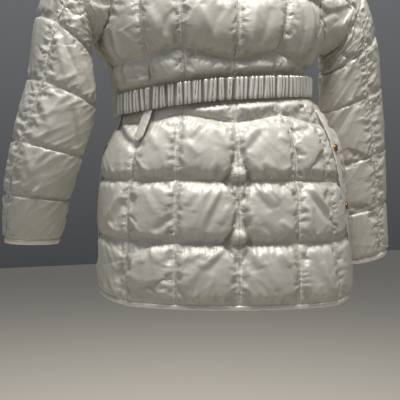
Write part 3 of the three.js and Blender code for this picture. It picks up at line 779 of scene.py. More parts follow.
def body_panel(piece, side):
    name = f"{piece}_{side}"
    pitch = PITCH_FRONT if piece.startswith("front") else PITCH
    rows = body_rows(pitch)
    h = rows[:, None]
    start, end = (a[:, None] for a in panel_edges(piece, side, rows))
    width = np.linalg.norm(surface(start, h) - surface(end, h), axis=-1)
    steps = max(8, round(float(np.median(width)) / pitch))
    share = np.concatenate([[0.0], np.linspace(0, 1, steps - 1), [1.0]])[None, :]
    twin = np.minimum(TWIN / width, 0.3)
    place = np.where(share <= 0, 0, np.where(share >= 1, 1, twin + share * (1 - 2 * twin)))
    place[:, 1], place[:, -2] = twin[:, 0], 1 - twin[:, 0]
    place = place[:, ::-1]  # columns run to the right as seen from outside, which is against the angle
    t = start + (end - start) * place
    base, normal = surface(t, h), outward(t, h)
    line, share_up = between(LINES, np.minimum(h, LINES[-1] - 1e-6))
    edges = PLAIN_EDGE.get(piece, (0, 0))
    edges = edges if WAY[side] > 0 else edges[::-1]
    above = [min(edge, 2) if piece == "front_side" else edge for edge in edges]
    low, high = (np.where(rows < UNDERARM, e, a)[:, None] for e, a in zip(edges, above))
    from_low, from_high = place * width, (1 - place) * width
    plain = np.minimum(np.where(low > 0, from_low / (low + PLAIN_FADE), 1),
                       np.where(high > 0, from_high / (high + PLAIN_FADE), 1))
    filled = np.clip(plain, 0, 1) ** 2
    side_panel = piece.endswith("side")
    press = pressed(base) * under_tape(t, h + 0 * t)
    lift = SEAM_LIFT * (SIDE_LIFT if side_panel else 1) * bulge(share_up) * press * filled
    from_line = np.min(np.abs(rows[:, None] - np.array(LINES[1:-1])), axis=1)[:, None]
    sink = LINE_SINK * np.exp(-((from_line / SINK_REACH) ** 2)) * press * filled
    base = base + normal * (lift - sink)[..., None]
    swell = bulge((from_low - low) / (width - low - high)) * bulge(share_up)
    sewn = (from_low <= np.maximum(low, TWIN) + 0.1) | (from_high <= np.maximum(high, TWIN) + 0.1)
    sewn = sewn | (np.min(np.abs(rows[:, None] - np.array(LINES)), axis=1) <= TWIN + 0.1)[:, None]
    puff = np.where(sewn, 0, swell * press * np.minimum(1, width / FULL_WIDTH))
    across = np.concatenate([np.zeros((len(rows), 1)),
                             np.cumsum(np.linalg.norm(np.diff(base, axis=1), axis=-1), axis=1)], axis=1)
    middle = place.shape[1] // 2
    up = np.concatenate([[0], np.cumsum(np.linalg.norm(np.diff(base[:, middle], axis=0), axis=-1))])
    edge_drop = np.where((from_low < 0.1) | (from_high < 0.1), 0.3, 0)[..., None]
    from_edge = np.minimum(from_low, from_high)
    thing = quilted_sheet(name, base - normal * edge_drop, normal, puff, sewn, from_edge)
    flat = base - normal * lift[..., None]
    run = np.broadcast_to(across, place.shape)
    lines = np.array(LINES)
    nearest = np.argmin(np.abs(rows[:, None] - lines), axis=1)
    signed = (rows - lines[nearest])[:, None]
    quilting = np.stack([np.broadcast_to(signed, place.shape), run, nearest[:, None] + 0 * place], -1)
    seaming = np.stack([from_edge, np.broadcast_to(up[:, None], place.shape), 0 * place], -1)
    swell = swell * press * np.minimum(1, width / FULL_WIDTH)
    quilts[name] = dict(thing=thing, base=base, flat=flat, normal=normal, sewn=sewn, swell=swell,
                        t=t + 0 * place, press=press, quilting=quilting, seaming=seaming,
                        most=MOST_PUFF * (SIDE_PUFF if side_panel else 1), lines=lines, along=h + 0 * place,
                        seams=seams_beside(piece, side, from_low, from_high))


for piece in PIECES:
    for side in WAY:
        body_panel(piece, side)
print("body panels:", len(quilts), "points:", sum(q["base"][..., 0].size for q in quilts.values()))

# %% [markdown]
# ## Sleeves
# A two-piece sleeve has an elbow seam behind and an under seam inside. Its sections are ellipses, joined by a
# smooth curve that starts on the armhole, and its quilt lines run round it.

# %% Sleeve surface


def armhole(side, angle):
    """Points just inside an armhole's edge. The angle is 0 at the shoulder tip and 90 at the back."""
    way = WAY[side]
    h = armhole_height(angle)
    t = seam("side", side, h) - way * ARMHOLE_REACH * np.sin(np.radians(angle))
    p, n = surface(t, h), outward(t, h)
    into = surface(seam("side", side, ARMHOLE_MIDDLE), ARMHOLE_MIDDLE) - p
    into = unit(into - n * np.sum(into * n, axis=-1, keepdims=True))
    return p + into * (SEAM_GAP + SEWN / 2), into


def sleeve_ring(side, section, angle, grow=0.0):
    way = WAY[side]
    out = (section["wide"] + grow) * np.cos(np.radians(angle))
    lift = math.radians(section["lift"])
    x = way * (section["x"] + out * math.cos(lift))
    y = section["y"] + (section["deep"] + grow) * np.sin(np.radians(angle))
    return np.stack([x, y, section["z"] + out * math.sin(lift)], -1)


QUILT_ANGLE = math.degrees(math.acos((-194 - ARMHOLE_MIDDLE) / ARMHOLE_HALF))
ELBOW_START = 0.75 * QUILT_ANGLE
UNDER_START = 360 - (QUILT_ANGLE + (180 - QUILT_ANGLE) / 3)


def through(knots, u):
    """Points at u, counted in knots, on a centripetal Catmull-Rom curve through the knots."""
    k = min(int(u), len(knots) - 2)
    w = u - k
    p1, p2 = knots[k], knots[k + 1]
    p0 = knots[k - 1] if k > 0 else 2 * knots[0] - knots[1]
    p3 = knots[k + 2] if k + 2 < len(knots) else 2 * knots[-1] - knots[-2]
    spans = ((p0, p1), (p1, p2), (p2, p3))
    d0, d1, d2 = (np.sqrt(np.linalg.norm(b - a, axis=-1, keepdims=True)) for a, b in spans)
    m1 = ((p1 - p0) / d0 - (p2 - p0) / (d0 + d1) + (p2 - p1) / d1) * d1
    m2 = ((p2 - p1) / d1 - (p3 - p1) / (d1 + d2) + (p3 - p2) / d2) * d1
    c2, c3 = -3 * p1 + 3 * p2 - 2 * m1 - m2, 2 * p1 - 2 * p2 + m1 + m2
    return p1 + m1 * w + c2 * w * w + c3 * w ** 3


def sleeve_knots(side, piece, share):
    """For shares of a sleeve piece's width, its points on the armhole and on each section."""
    def angle_of(elbow, under):
        return elbow + (under - elbow) * share if piece == "under" else under + (elbow + 360 - under) * share
    knots = [armhole(side, angle_of(ELBOW_START, UNDER_START))[0]]
    return knots + [sleeve_ring(side, s, angle_of(s["elbow"], s["under"])) for s in SLEEVES[side]]


# %% Sleeve pieces
SLEEVE_LIFT = 1.0     # the lift and puff of the sleeves, which are filled less than the body
SLEEVE_PUFF = 5.0


def sleeve_rows(side):
    """Values of u for the rows, their lengths down the sleeve, and the lengths of the quilt lines."""
    us = np.linspace(0, 6, 121)
    knots = sleeve_knots(side, "upper", np.array([0.5]))
    middle = np.array([through(knots, u)[0] for u in us])
    run = np.concatenate([[0], np.cumsum(np.linalg.norm(np.diff(middle, axis=0), axis=1))])
    at = np.interp(range(7), us, run)
    lines = [place for line in at[1:-1] for place in (line - TWIN, line, line + TWIN)]
    places = [at[0], at[0] + TWIN] + lines + [at[-1] - TWIN, at[-1]]
    lengths = stops(places, PITCH)
    return np.interp(lengths, run, us), lengths, at


def sleeve_panel(piece, side):
    us, lengths, at = sleeve_rows(side)
    ring = through(sleeve_knots(side, piece, np.linspace(0, 1, 60)), 3.0)
    width = float(np.linalg.norm(np.diff(ring, axis=0), axis=1).sum())
    inner_share = np.linspace(TWIN / width, 1 - TWIN / width, round(width / PITCH) - 1)
    share = np.concatenate([[0.0], inner_share, [1.0]])
    here = sleeve_knots(side, piece, share)
    before, after = (sleeve_knots(side, piece, np.clip(share + step, 0, 1)) for step in (-0.01, 0.01))
    base = np.stack([through(here, u) for u in us])
    along = np.stack([through(here, min(u + 0.01, 6)) - through(here, max(u - 0.01, 0)) for u in us])
    around = np.stack([through(after, u) - through(before, u) for u in us])
    normal = unit(np.cross(along, around)) * WAY[side]
    base[:, 0] += unit(around[:, 0]) * SEAM_GAP
    base[:, -1] -= unit(around[:, -1]) * SEAM_GAP
    low, high = (ELBOW_START, UNDER_START) if piece == "under" else (UNDER_START, ELBOW_START + 360)
    normal[0] = -armhole(side, low + (high - low) * share)[1]
    line, share_up = between(at, np.minimum(lengths, at[-1] - 1e-6))
    from_edge = np.minimum(share, 1 - share) * width
    swell = bulge(share)[None, :] * np.where(us < 1, bulge(0.5 * us), bulge(share_up))[:, None]
    nearest = np.argmin(np.abs(lengths[:, None] - at), axis=1)
    off_line = lengths - at[nearest]
    sewn = (from_edge[None, :] <= TWIN + 0.1) | (np.abs(off_line) <= TWIN + 0.1)[:, None]
    nothing = np.zeros(sewn.shape)
    quilting = np.stack([off_line[:, None] + nothing, (share * width)[None, :] + nothing,
                         nearest[:, None] + nothing], -1)
    seaming = np.stack([from_edge[None, :] + nothing, lengths[:, None] + nothing, nothing], -1)
    flat = base
    base = base + normal * (SLEEVE_LIFT * np.where(us < 1, bulge(0.5 * us), bulge(share_up)))[:, None, None]
    after_low, before_high = share * width + nothing, (share - 1) * width + nothing
    drop = np.where(from_edge < 0.1, 0.3, 0)[None, :, None]
    arrays = [base, flat, normal, swell, sewn, quilting, seaming, after_low, before_high]
    if side == "left":  # there the rows run up, so that the faces point out
        arrays = [a[::-1] for a in arrays]
    base, flat, normal, swell, sewn, quilting, seaming, after_low, before_high = arrays
    seams = [("elbow" + side, after_low if piece == "under" else before_high),
             ("under" + side, before_high if piece == "under" else after_low)]
    name = f"sleeve_{piece}_{side}"
    puff = np.where(sewn, 0, swell)
    thing = quilted_sheet(name, base - normal * drop, normal, puff, sewn, from_edge[None, :])
    quilts[name] = dict(thing=thing, base=base, flat=flat, normal=normal, sewn=sewn, swell=swell,
                        press=np.ones_like(swell), quilting=quilting, seaming=seaming, most=SLEEVE_PUFF,
                        lines=at, along=seaming[..., 1], seams=seams)


for side in WAY:
    for piece in ("upper", "under"):
        sleeve_panel(piece, side)
print("quilted pieces:", len(quilts), "points:", sum(q["base"][..., 0].size for q in quilts.values()))

# %% [markdown]
# ## Collar
# The stand collar is quilted too, with one line round its middle. It isn't seen from behind and below, and a
# plain one of the usual height closes the neck.

# %% Collar surface
COLLAR_PUFF = 12.0
COLLAR_TAPER = 0.05   # how much narrower it is at its upper edge


def collar_point(t, v):
    """Points of the collar at the angles t; v is 0 at its seam and 1 at its upper edge."""
    neck = surface(t, 0.0)
    v = np.asarray(v, float)
    height = SEWN / 2 + 3 * SEAM_GAP + (COLLAR_HEIGHT - SEWN / 2 - 3 * SEAM_GAP) * v
    drawn = 1 - COLLAR_TAPER * v
    return np.stack([neck[..., 0] * drawn, neck[..., 1] * drawn, neck[..., 2] + height + 0 * v], -1)


def level_normal(points):
    return unit(points * np.array([1.0, 1.0, 0.0]))


def collar():
    end, plain = (float(besides(180.0, -1.0, -d)) for d in (FRONT_GAP / 2, PLACKET_WIDTH / 2 + 2))
    t = stops([-end, -plain, 0.0, plain, end], PITCH * 0.75)[::-1][None, :]
    line = COLLAR_HEIGHT / 2
    run = stops([0, TWIN, line - TWIN, line, line + TWIN, COLLAR_HEIGHT - TWIN, COLLAR_HEIGHT], PITCH)
    v = (run / COLLAR_HEIGHT)[:, None]
    base = collar_point(t + 0 * v, v + 0 * t)
    normal = level_normal(base)
    share = (t + plain) / (2 * plain)
    lines = np.array([0, COLLAR_HEIGHT / 2, COLLAR_HEIGHT])
    line, up = between(lines, np.minimum(run, COLLAR_HEIGHT - 1e-6))
    swell = bulge(up)[:, None] * np.minimum(1, 3 * bulge(share)) * 0.8
    off_line = run - lines[np.argmin(np.abs(run[:, None] - lines), axis=1)]
    sewn = (np.abs(off_line) <= TWIN + 0.1)[:, None] | (np.abs(t) >= plain - 0.1)
    across = np.concatenate([np.zeros((len(run), 1)),
                             np.cumsum(np.linalg.norm(np.diff(base, axis=1), axis=-1), axis=1)], axis=1)
    nothing = np.zeros(sewn.shape)
    quilting = np.stack([off_line[:, None] + nothing, across, line[:, None] + nothing], -1)
    thing = quilted_sheet("collar", base, normal, np.where(sewn, 0, swell), sewn, 50 + 0 * across)
    quilts["collar"] = dict(thing=thing, base=base, flat=base, normal=normal, sewn=sewn, swell=swell,
                            press=np.ones_like(swell), quilting=quilting, seaming=quilting * 0 + 50,
                            most=COLLAR_PUFF, lines=lines, along=run[:, None] + nothing, seams=[])


collar()

# %% [markdown]
# ## Filling the baffles
# All panels are simulated side by side for twenty frames, which Blender spreads over the processor's cores.
# Pressure blows each baffle out until its cloth is tight, and the ease left along the stitches buckles into
# gathers. The result is read back, and no Cloth modifier is left on anything.

# %% Simulate
SIM_FRAMES = 20
for quilt in quilts.values():
    add_cloth(quilt["thing"])
for number in range(1, SIM_FRAMES + 1):
    bpy.context.scene.frame_set(number)


def read_back(quilt):
    """The settled points of a panel, in millimetres."""
    seen = quilt["thing"].evaluated_get(bpy.context.evaluated_depsgraph_get())
    co = np.empty(len(seen.data.vertices) * 3, np.float32)
    seen.data.vertices.foreach_get("co", co)
    return co.reshape(quilt["base"].shape).astype(float) / MM


for quilt in quilts.values():
    quilt["settled"] = read_back(quilt)
    old = quilt["thing"]
    pattern = old.data
    bpy.data.objects.remove(old)
    bpy.data.meshes.remove(pattern)
bpy.context.scene.frame_set(1)
puffs = [np.sum((q["settled"] - q["base"]) * q["normal"], axis=-1).max() for q in quilts.values()]
print("highest puff of each panel, mm:", [round(float(p), 1) for p in puffs])

# %% [markdown]
# ## Small pleats
# Stitching draws cloth up into small pleats, which fan out from every stitched row and fade into the down.
# They are finer than the springs of the simulation can follow, so they are added as ridges of uneven spacing,
# height, lean and length. The long seams are ruched, so theirs run right across the stitches.

# %% Pleats
RUCHING = {"centre": 0.9, "middle": 1.2, "outer": 1.2, "side": 0.6, "front": 0.7, "edge": 0.0,
           "elbow": 1.6, "under": 0.6}
SEAM_PLEATS = 8.0, 24.0    # spacing and reach in mm along the long seams
LINE_PLEATS = 10.0, 40.0   # and along the quilt lines
LINE_PLEAT_HEIGHT = 2.3
# Way along for each mm up, where to the right is plus.
SLANT = {"back_centre_left": -0.5, "back_middle_left": 0.35, "back_side_left": 0.5,
         "back_centre_right": 0.5, "back_middle_right": 0.25, "back_side_right": 0.6,
         "sleeve_under_left": 0.7, "sleeve_upper_left": -0.5,
         "sleeve_under_right": -0.5, "sleeve_upper_right": 0.6}


def pleats(run, off, spacing, reach, seed, slant=0.0):
    """Ridges that start at a stitched row, about -0.3 to 1. run and off are mm along and across the row."""
    rng = np.random.default_rng(seed)
    place = run.min() - spacing
    away = np.abs(off)
    total = -0.35 * np.exp(-((away / reach) ** 1.4))
    while place < run.max() + spacing:
        place += spacing * rng.uniform(0.55, 1.7)
        tall, lean, far = rng.uniform(0.35, 1.0), rng.normal(0, 0.3), reach * rng.uniform(0.45, 1.6)
        width = spacing * (0.26 + 0.22 * away / far)
        beside = np.abs(run + (lean + slant) * off - place) / width
        total = total + tall * np.exp(-(beside ** 1.7) - (away / far) ** 1.6)
    return total


def seed_of(text):
    return sum((k + 1) * ord(c) for k, c in enumerate(text))


def pleat_relief(name, quilt):
    """How far the small pleats lift each point of a panel, in mm."""
    relief = np.zeros(quilt["swell"].shape)
    for seam_name, away in quilt["seams"]:
        kind = seam_name.removesuffix("left").removesuffix("right")
        relief += RUCHING[kind] * pleats(quilt["along"], away, *SEAM_PLEATS, seed_of(seam_name))
    off, run, number = (quilt["quilting"][..., k] for k in range(3))
    rise = np.clip((np.abs(off) - TWIN) / 4, 0, 1)
    for k in range(len(quilt["lines"])):
        for sign in (-1, 1):
            there = (number == k) & (sign * off > 0)
            rows = np.nonzero(there.any(axis=1))[0]
            if len(rows):
                part = pleats(run[rows], off[rows], *LINE_PLEATS, seed_of(name) + 10 * k + sign,
                              SLANT.get(name, 0.0))
                relief[rows] += np.where(there[rows], rise[rows] * LINE_PLEAT_HEIGHT * part, 0)
    return relief * (0.3 + 0.7 * quilt["press"])


print("pleats every", SEAM_PLEATS[0], "mm along the seams and", LINE_PLEATS[0], "mm along the quilt lines")

# %% [markdown]
# Where the ruched centre seam crosses a quilt line, the layers stand up in a small dome. The cloth round it
# is drawn into a diamond, whose long points lie on the seam.

# %% Domes on the centre seam
DOME_HEIGHT = 9.5
DOME_HALF = 19
DOME_MIDDLE = 7     # above the quilt line
DIAMOND = {"half": 21.0, "above": 72.0, "below": 55.0, "deep": 9.0}


def crossing_domes(points):
    """The lift in mm of body points."""
    x, z = np.abs(points[..., 0]), points[..., 2]
    lift = 0
    for line in LINES[1:3]:
        up = z - surface(0.0, line)[2]
        half = DIAMOND["half"] * np.where(up > 0, 1 - up / DIAMOND["above"], 1 + up / DIAMOND["below"])
        side = DIAMOND["deep"] * np.exp(-(((x - half) / 5.0) ** 2)) * np.clip(half / 9, 0, 1)
        tall = np.where(up > DOME_MIDDLE, 18, 9)
        round_off = np.maximum(0, 1 - (x / DOME_HALF) ** 2 - ((up - DOME_MIDDLE) / tall) ** 2)
        dome = DOME_HEIGHT * round_off ** 0.8
        lift = lift + dome - side
    return np.where(points[..., 1] > 0, lift, 0)


# %% [markdown]
# ## Folds
# Larger folds run slantwise over the baffles, where the filled panels are pulled towards the waist and the
# seams. Each row is one fold on the body: the angle and height it starts from, where it ends, its half width
# in mm, and how high it stands. A trough has a height below 0.

# %% Fold table
FOLDS = table(
    "t h to_t to_h wide tall",
    (7, -540, 15, -615, 6, 2.2),
    (5, -545, 13, -615, 6, -2.0),
    (11, -530, 17, -610, 6, 1.8),
    (16, -545, 20, -570, 5, 1.5),
    (4, -570, 7, -600, 5, 1.6),
    (29, -535, 25, -560, 5, 1.6),
    (32, -535, 27, -585, 6, 1.6),
    (36, -615, 27, -595, 7, -2.2),
    (40, -545, 34, -585, 6, 1.2),
    (-7, -535, -14, -570, 6, 2.0),
    (-5, -540, -11, -580, 6, -1.8),
    (-10, -535, -16, -560, 5, 1.6),
    (-3, -570, -6, -615, 6, 1.6),
    (-15, -595, -21, -615, 6, 1.8),
    (-8, -600, -13, -630, 6, -1.6),
    (6, -645, 14, -680, 6, 2.2),
    (5, -650, 11, -690, 6, -1.8),
    (13, -670, 20, -715, 7, 2.2),
    (11, -645, 19, -670, 6, 1.6),
    (-4, -645, -8, -680, 6, 2.0),
    (-2, -650, -5, -690, 6, -1.8),
    (-14, -645, -19, -680, 6, 1.8),
    (-9, -670, -14, -720, 7, 1.6),
    (34, -735, 25, -715, 5, 2.2),
    (31, -715, 24, -700, 5, 1.6),
    (43, -645, 40, -675, 5, 1.8),
    (37, -645, 32, -675, 6, 1.6),
    (44, -490, 38, -520, 6, 2.0),
    (42, -440, 34, -475, 7, 1.6),
    (33, -430, 24, -460, 4, 1.8),
    (35, -435, 25, -470, 4, 1.4),
    (14, -430, 19, -460, 4, 1.6),
    (10, -425, 3, -470, 7, 1.4),
    (20, -465, 15, -485, 6, 1.4),
    (-1, -470, -9, -430, 8, 2.0),
    (-3, -475, -11, -440, 7, -1.8),
    (-17, -455, -21, -465, 4, 1.6),
    (-17, -510, -22, -500, 5, 1.8),
    (-9, -490, -16, -515, 7, 1.6),
    (-26, -430, -27, -465, 5, -3.0),
    (-27, -465, -28, -525, 5, -2.6),
    (-27, -535, -42, -600, 6, -2.6),
    (-30, -530, -43, -585, 6, 2.2),
    (-29, -570, -32, -620, 4, 2.0),
    (-33, -575, -35, -620, 4, -2.0),
    (70, -250, 71, -350, 7, -2.6),
    (66, -250, 65, -345, 7, 2.0),
    (-33, -210, -38, -285, 7, -2.2),
    (-38, -205, -43, -280, 6, 2.0),
    (-27, -310, -35, -335, 4, 2.0),
    (-43, -310, -44, -325, 4, -2.0),
    (94, -405, 51, -465, 6, -3.0),
    (82, -400, 48, -460, 6, 2.4),
    (52, -535, 68, -605, 6, 2.4),
    (49, -540, 62, -610, 6, -2.2),
    (51, -585, 41, -625, 5, 2.4),
    (66, -605, 58, -625, 4, 2.0),
    (16, -230, 10, -280, 7, 1.8),
    (7, -225, 13, -285, 8, -1.6),
    (40, -230, 35, -295, 7, 1.8),
    (29, -240, 38, -290, 7, -1.6),
    (-7, -215, -4, -290, 7, 1.8),
    (-13, -225, -10, -285, 7, -1.6),
    (-36, -675, -43, -730, 5, 2.0),
    (-29, -650, -35, -715, 6, -1.8),
    (150, -540, 140, -610, 7, 2.0),
    (158, -430, 148, -500, 7, -1.8),
    (-150, -560, -142, -620, 7, 1.8),
    (-120, -430, -134, -500, 7, -2.0),
    (124, -650, 112, -720, 7, 2.0),
    (-112, -660, -124, -715, 7, 1.8),
    (140, -210, 152, -290, 7, 1.8),
    (-152, -220, -142, -290, 7, -1.8),
)
FOLD_SCALE = 2.0
print("folds on the body:", len(FOLDS))


def ridges(folds, x, y, across, down, scale=1.0):
    """The lift in mm of points at x and y, for a table of folds. across and down name its columns, and scale
    turns what across and x are in to mm."""
    lift = 0
    for fold in folds:
        run = np.array([(fold["to_" + across] - fold[across]) * scale, fold["to_" + down] - fold[down]])
        length = np.hypot(*run)
        right, up = (x - fold[across]) * scale, y - fold[down]
        along = (right * run[0] + up * run[1]) / length ** 2
        away = (right * run[1] - up * run[0]) / length
        fade = np.sqrt(np.maximum(0, 4 * along * (1 - along)))
        lift = lift + fold["tall"] * fade * np.exp(-(np.abs(away / fold["wide"]) ** 1.5))
    return lift


# %% [markdown]
# A bent arm leaves folds in a sleeve too. They start from the elbow seam and run down and inwards. These
# are measured on the cut piece: across from its elbow or under seam, and down from the armhole.

# %% Sleeve folds
SLEEVE_FOLDS = {
    "sleeve_under_left": table(
        "across down to_across to_down wide tall",
        (6, 95, 48, 150, 6, 3.2),
        (14, 92, 60, 138, 5, -2.6),
        (4, 140, 22, 205, 6, 3.0),
        (60, 110, 95, 175, 7, 2.6),
        (8, 225, 40, 300, 6, 3.0),
        (18, 222, 62, 285, 5, -2.4),
        (70, 250, 110, 315, 7, 2.4),
        (6, 345, 46, 405, 6, 2.6),
        (58, 330, 96, 400, 6, 2.4),
        (64, 352, 100, 415, 5, -2.4),
        (14, 440, 44, 490, 5, 2.4),
        (66, 432, 92, 500, 6, 2.2),
    ),
    "sleeve_upper_left": table(
        "across down to_across to_down wide tall",
        (218, 110, 176, 170, 6, 3.0),
        (224, 120, 180, 200, 5, -2.4),
        (220, 240, 178, 300, 6, 2.8),
        (214, 350, 172, 410, 6, 2.4),
        (206, 430, 170, 490, 6, 2.2),
    ),
    "sleeve_under_right": table(
        "across down to_across to_down wide tall",
        (8, 60, 62, 118, 6, 3.0),
        (14, 110, 70, 150, 7, -3.2),
        (20, 128, 74, 172, 6, 3.2),
        (10, 200, 52, 262, 6, 2.6),
        (60, 215, 92, 282, 6, 2.4),
        (34, 318, 84, 372, 6, 3.0),
        (26, 330, 70, 388, 5, -2.6),
        (12, 430, 40, 500, 5, 2.2),
    ),
    "sleeve_upper_right": table(
        "across down to_across to_down wide tall",
        (230, 80, 190, 140, 6, 2.8),
        (226, 190, 186, 250, 6, 2.6),
        (222, 300, 182, 372, 6, 2.6),
        (212, 420, 176, 480, 6, 2.2),
    ),
}


print("folds on the sleeves:", sum(len(folds) for folds in SLEEVE_FOLDS.values()))

# %% [markdown]
# Down also has a back. The lining side of each panel swells less, because the wearer's body presses on it, so
# it is a second grid a little inside the first, and the two are closed into one padded piece.

# %% Close the panels
KNEE = 0.65          # above this share of its most puff, a baffle's cloth holds back the down


def finished_quilt(name, quilt):
    base, normal, most = quilt["base"], quilt["normal"], quilt["most"]
    moved = quilt["settled"] - base
    out = np.sum(moved * normal, axis=-1)
    aside = moved - out[..., None] * normal
    free = ~quilt["sewn"]
    knee = KNEE * most
    soft = np.where(out > knee, knee + (most - knee) * np.tanh((out - knee) / (most - knee)), out)
    puffed = SEWN / 2 + np.maximum(soft - SEWN / 2, -0.6) * quilt["press"]
    out = np.where(free, puffed, out) + pleat_relief(name, quilt)
    if "t" in quilt:
        lift = ridges(FOLDS, quilt["t"], quilt["along"], "t", "h", MM_PER_DEGREE)
        out = out + FOLD_SCALE * lift * free
    if name in SLEEVE_FOLDS:
        lift = ridges(SLEEVE_FOLDS[name], quilt["quilting"][..., 1], quilt["along"], "across", "down")
        out = out + lift * free
    if name.startswith("back"):
        out = out + crossing_domes(base)
    points = base + normal * out[..., None] + aside * np.where(free, quilt["press"], 1)[..., None]
    mesh = grid_mesh(name, points)
    set_attribute(mesh, "quilting", np.abs(quilt["quilting"]))
    set_attribute(mesh, "seaming", quilt["seaming"])
    lining = quilt["flat"] - normal * (SEWN / 2 + SWELL_IN * quilt["swell"])[..., None]
    thing = wall(name, mesh, lining, SHELL, LINING, crisp=True)
    return thing


for name, quilt in quilts.items():
    finished_quilt(name, quilt)
print("closed panels:", len(quilts))

# %% [markdown]
# ## Strips of plain cloth
# Bindings, facings and the placket are flat strips that lie on the sewn surface. A strip is a grid with a
# soft crown across it, which thins to its folded edges, and a slight ripple where stitching draws it up.

# %% Strip helper


def ripple(run, across, length, amount, slant=0.0, seed=0):
    """Uneven soft waves along a strip: run and across in mm, their usual length and their height in mm."""
    result = 0
    for k, (share, weight) in enumerate(((1.0, 0.5), (0.62, 0.3), (1.7, 0.35))):
        phase = 2.1 * seed + 1.7 * k
        bent = run + slant * across + 0.25 * length * np.sin(run / (3.1 * length) + phase)
        result = result + weight * np.sin(2 * np.pi * bent / (length * share) + phase)
    return amount * result


def strip(name, points, normal, thick, finish, wave=(30, 0.0, 0.0), stitched=0.0, seed=0, square=3.0):
    """A closed strip. points and normal are rows by columns along its underside."""
    rows, columns = points.shape[:2]
    long_way = 1 if columns > rows else 0
    steps = np.linalg.norm(np.diff(points, axis=long_way), axis=-1)
    run = np.concatenate([np.zeros_like(np.take(steps, [0], long_way)), np.cumsum(steps, axis=long_way)],
                         axis=long_way)
    cross_way = 1 - long_way
    steps = np.linalg.norm(np.diff(points, axis=cross_way), axis=-1)
    over = np.concatenate([np.zeros_like(np.take(steps, [0], cross_way)), np.cumsum(steps, axis=cross_way)],
                          axis=cross_way)
    width = np.take(over, [-1], cross_way)
    share = 2 * over / width - 1
    crown = np.sqrt(np.maximum(0, 1 - np.abs(share) ** square))
    length, amount, slant = wave
    wavy = ripple(run, over, length, amount, slant, seed) * (0.35 + 0.65 * crown)
    outer = points + normal * (thick * (0.5 + 0.5 * crown) + wavy)[..., None]
    inner = points + normal * (thick * (0.5 - 0.5 * crown))[..., None]
    mesh = grid_mesh(name, outer)
    from_edge = np.minimum(over, width - over) * TWIN / stitched if stitched else 50 + 0 * over
    set_attribute(mesh, "seaming", np.stack([from_edge, run, 0 * run], -1))
    set_attribute(mesh, "quilting", np.stack([50 + 0 * run, run, 0 * run], -1))
    thing = wall(name, mesh, inner, finish)
    return thing, float(run.max()), float(width.mean())


# %% Hem bindings
HEM_ROWS = np.linspace(HEM_EDGE, HEM_LINE - 2 * SEAM_GAP, 9)


def vent_edge(side, h, sign):
    return besides(seam("side", side, h), h, sign * VENT_GAP / 2)


def hem(name, from_angle, to_angle, seed):
    """The angles are functions of h, and the binding runs from the larger to the smaller."""
    h = HEM_ROWS[:, None]
    ends = [np.array(a(HEM_ROWS))[:, None] + 0 * h for a in (from_angle, to_angle)]
    edge = surface(np.linspace(ends[0][0, 0], ends[1][0, 0], 200), HEM_EDGE)
    span = np.linalg.norm(np.diff(edge, axis=0), axis=-1)
    share = np.linspace(0, 1, round(float(span.sum()) / 3.0))[None, :]
    t = ends[0] + (ends[1] - ends[0]) * share
    n = outward(t, h)
    thing, length, width = strip(name, surface(t, h) - n * BINDING / 2, n, BINDING, TRIM, (21, 0.55, 1.4),
                                 seed=seed, square=2.4)


hem("hem_back", lambda h: vent_edge("left", h, -1), lambda h: vent_edge("right", h, 1),
    1)
hem("hem_front_left", lambda h: besides(180.0 + 0 * h, h, -FRONT_GAP / 2), lambda h: vent_edge("left", h, 1),
    2)
hem("hem_front_right", lambda h: vent_edge("right", h, -1),
    lambda h: besides(-180.0 + 0 * h, h, FRONT_GAP / 2), 3)

# %% Cuff bindings
for side in WAY:
    last, before = SLEEVES[side][-1], SLEEVES[side][-2]
    steps = (WAY[side] * (last["x"] - before["x"]), last["y"] - before["y"], last["z"] - before["z"])
    down = unit(np.array(steps))
    angles = np.linspace(0, 360, 121)[None, :]
    angles = angles if side == "right" else angles[:, ::-1]
    drops = np.linspace(CUFF_BINDING, CUFF_GAP, 9)[:, None, None]
    inner_ring = sleeve_ring(side, last, angles[0], -BINDING / 2)
    outer_ring = sleeve_ring(side, last, angles[0], BINDING / 2)
    outside = unit(outer_ring - inner_ring)
    points = inner_ring[None] + down * drops
    thing, length, width = strip(f"cuff_{side}", points, outside[None] + 0 * points, BINDING, TRIM,
                                 (18, 0.4, 1.2), seed=4, square=2.4)

# %% Vent facings
STRIP_OFF = SEWN / 2 + SEAM_GAP
for side in WAY:
    h = stops([HEM_LINE, VENT_TOP], 3.4)[:, None]
    share = np.linspace(0, 1, 11)[None, :]
    share = share[:, ::-1] if side == "left" else share
    past_gap = WAY[side] * (VENT_GAP / 2 + share * FACING_WIDTH)
    t = besides(seam("side", side, h) + 0 * share, h + 0 * share, past_gap)
    n = outward(t, h)
    thing, length, width = strip(f"vent_facing_{side}", surface(t, h) + n * STRIP_OFF, n, STRIP_THICK, TRIM,
                                 (26, 0.45, 0.9), stitched=2.6, seed=5, square=6.0)

# %% Placket
h = stops([HEM_EDGE, HEM_LINE] + sorted(set([*LINES[1:-1], LINES[-1]])), 4.0)[:, None]
share = np.linspace(0.5, -0.5, 17)[None, :]
t = besides(180.0 + 0 * (h + share), h + 0 * share, share * PLACKET_WIDTH)
proud = np.where((h < HEM_LINE + 5) | (h > SHOULDER - 5), 1.5, 0)
n = outward(t, h)
low = surface(t, h) + n * (STRIP_OFF + proud)[..., None]
v = np.linspace(0, 1, 18)[1:, None]
t_neck = besides(180.0 + 0 * share, -1.0 + 0 * share, share * PLACKET_WIDTH)
high = collar_point(t_neck + 0 * v, v + 0 * t_neck)
n_high = level_normal(high)
thing, length, width = strip("front_placket", np.concatenate([low, high + n_high * (STRIP_OFF + 1.5)]),
                             np.concatenate([n, n_high]), STRIP_THICK, PLAIN, (34, 0.35, 0.6),
                             stitched=4.0, seed=6, square=8.0)
print("bindings, facings and placket are on")
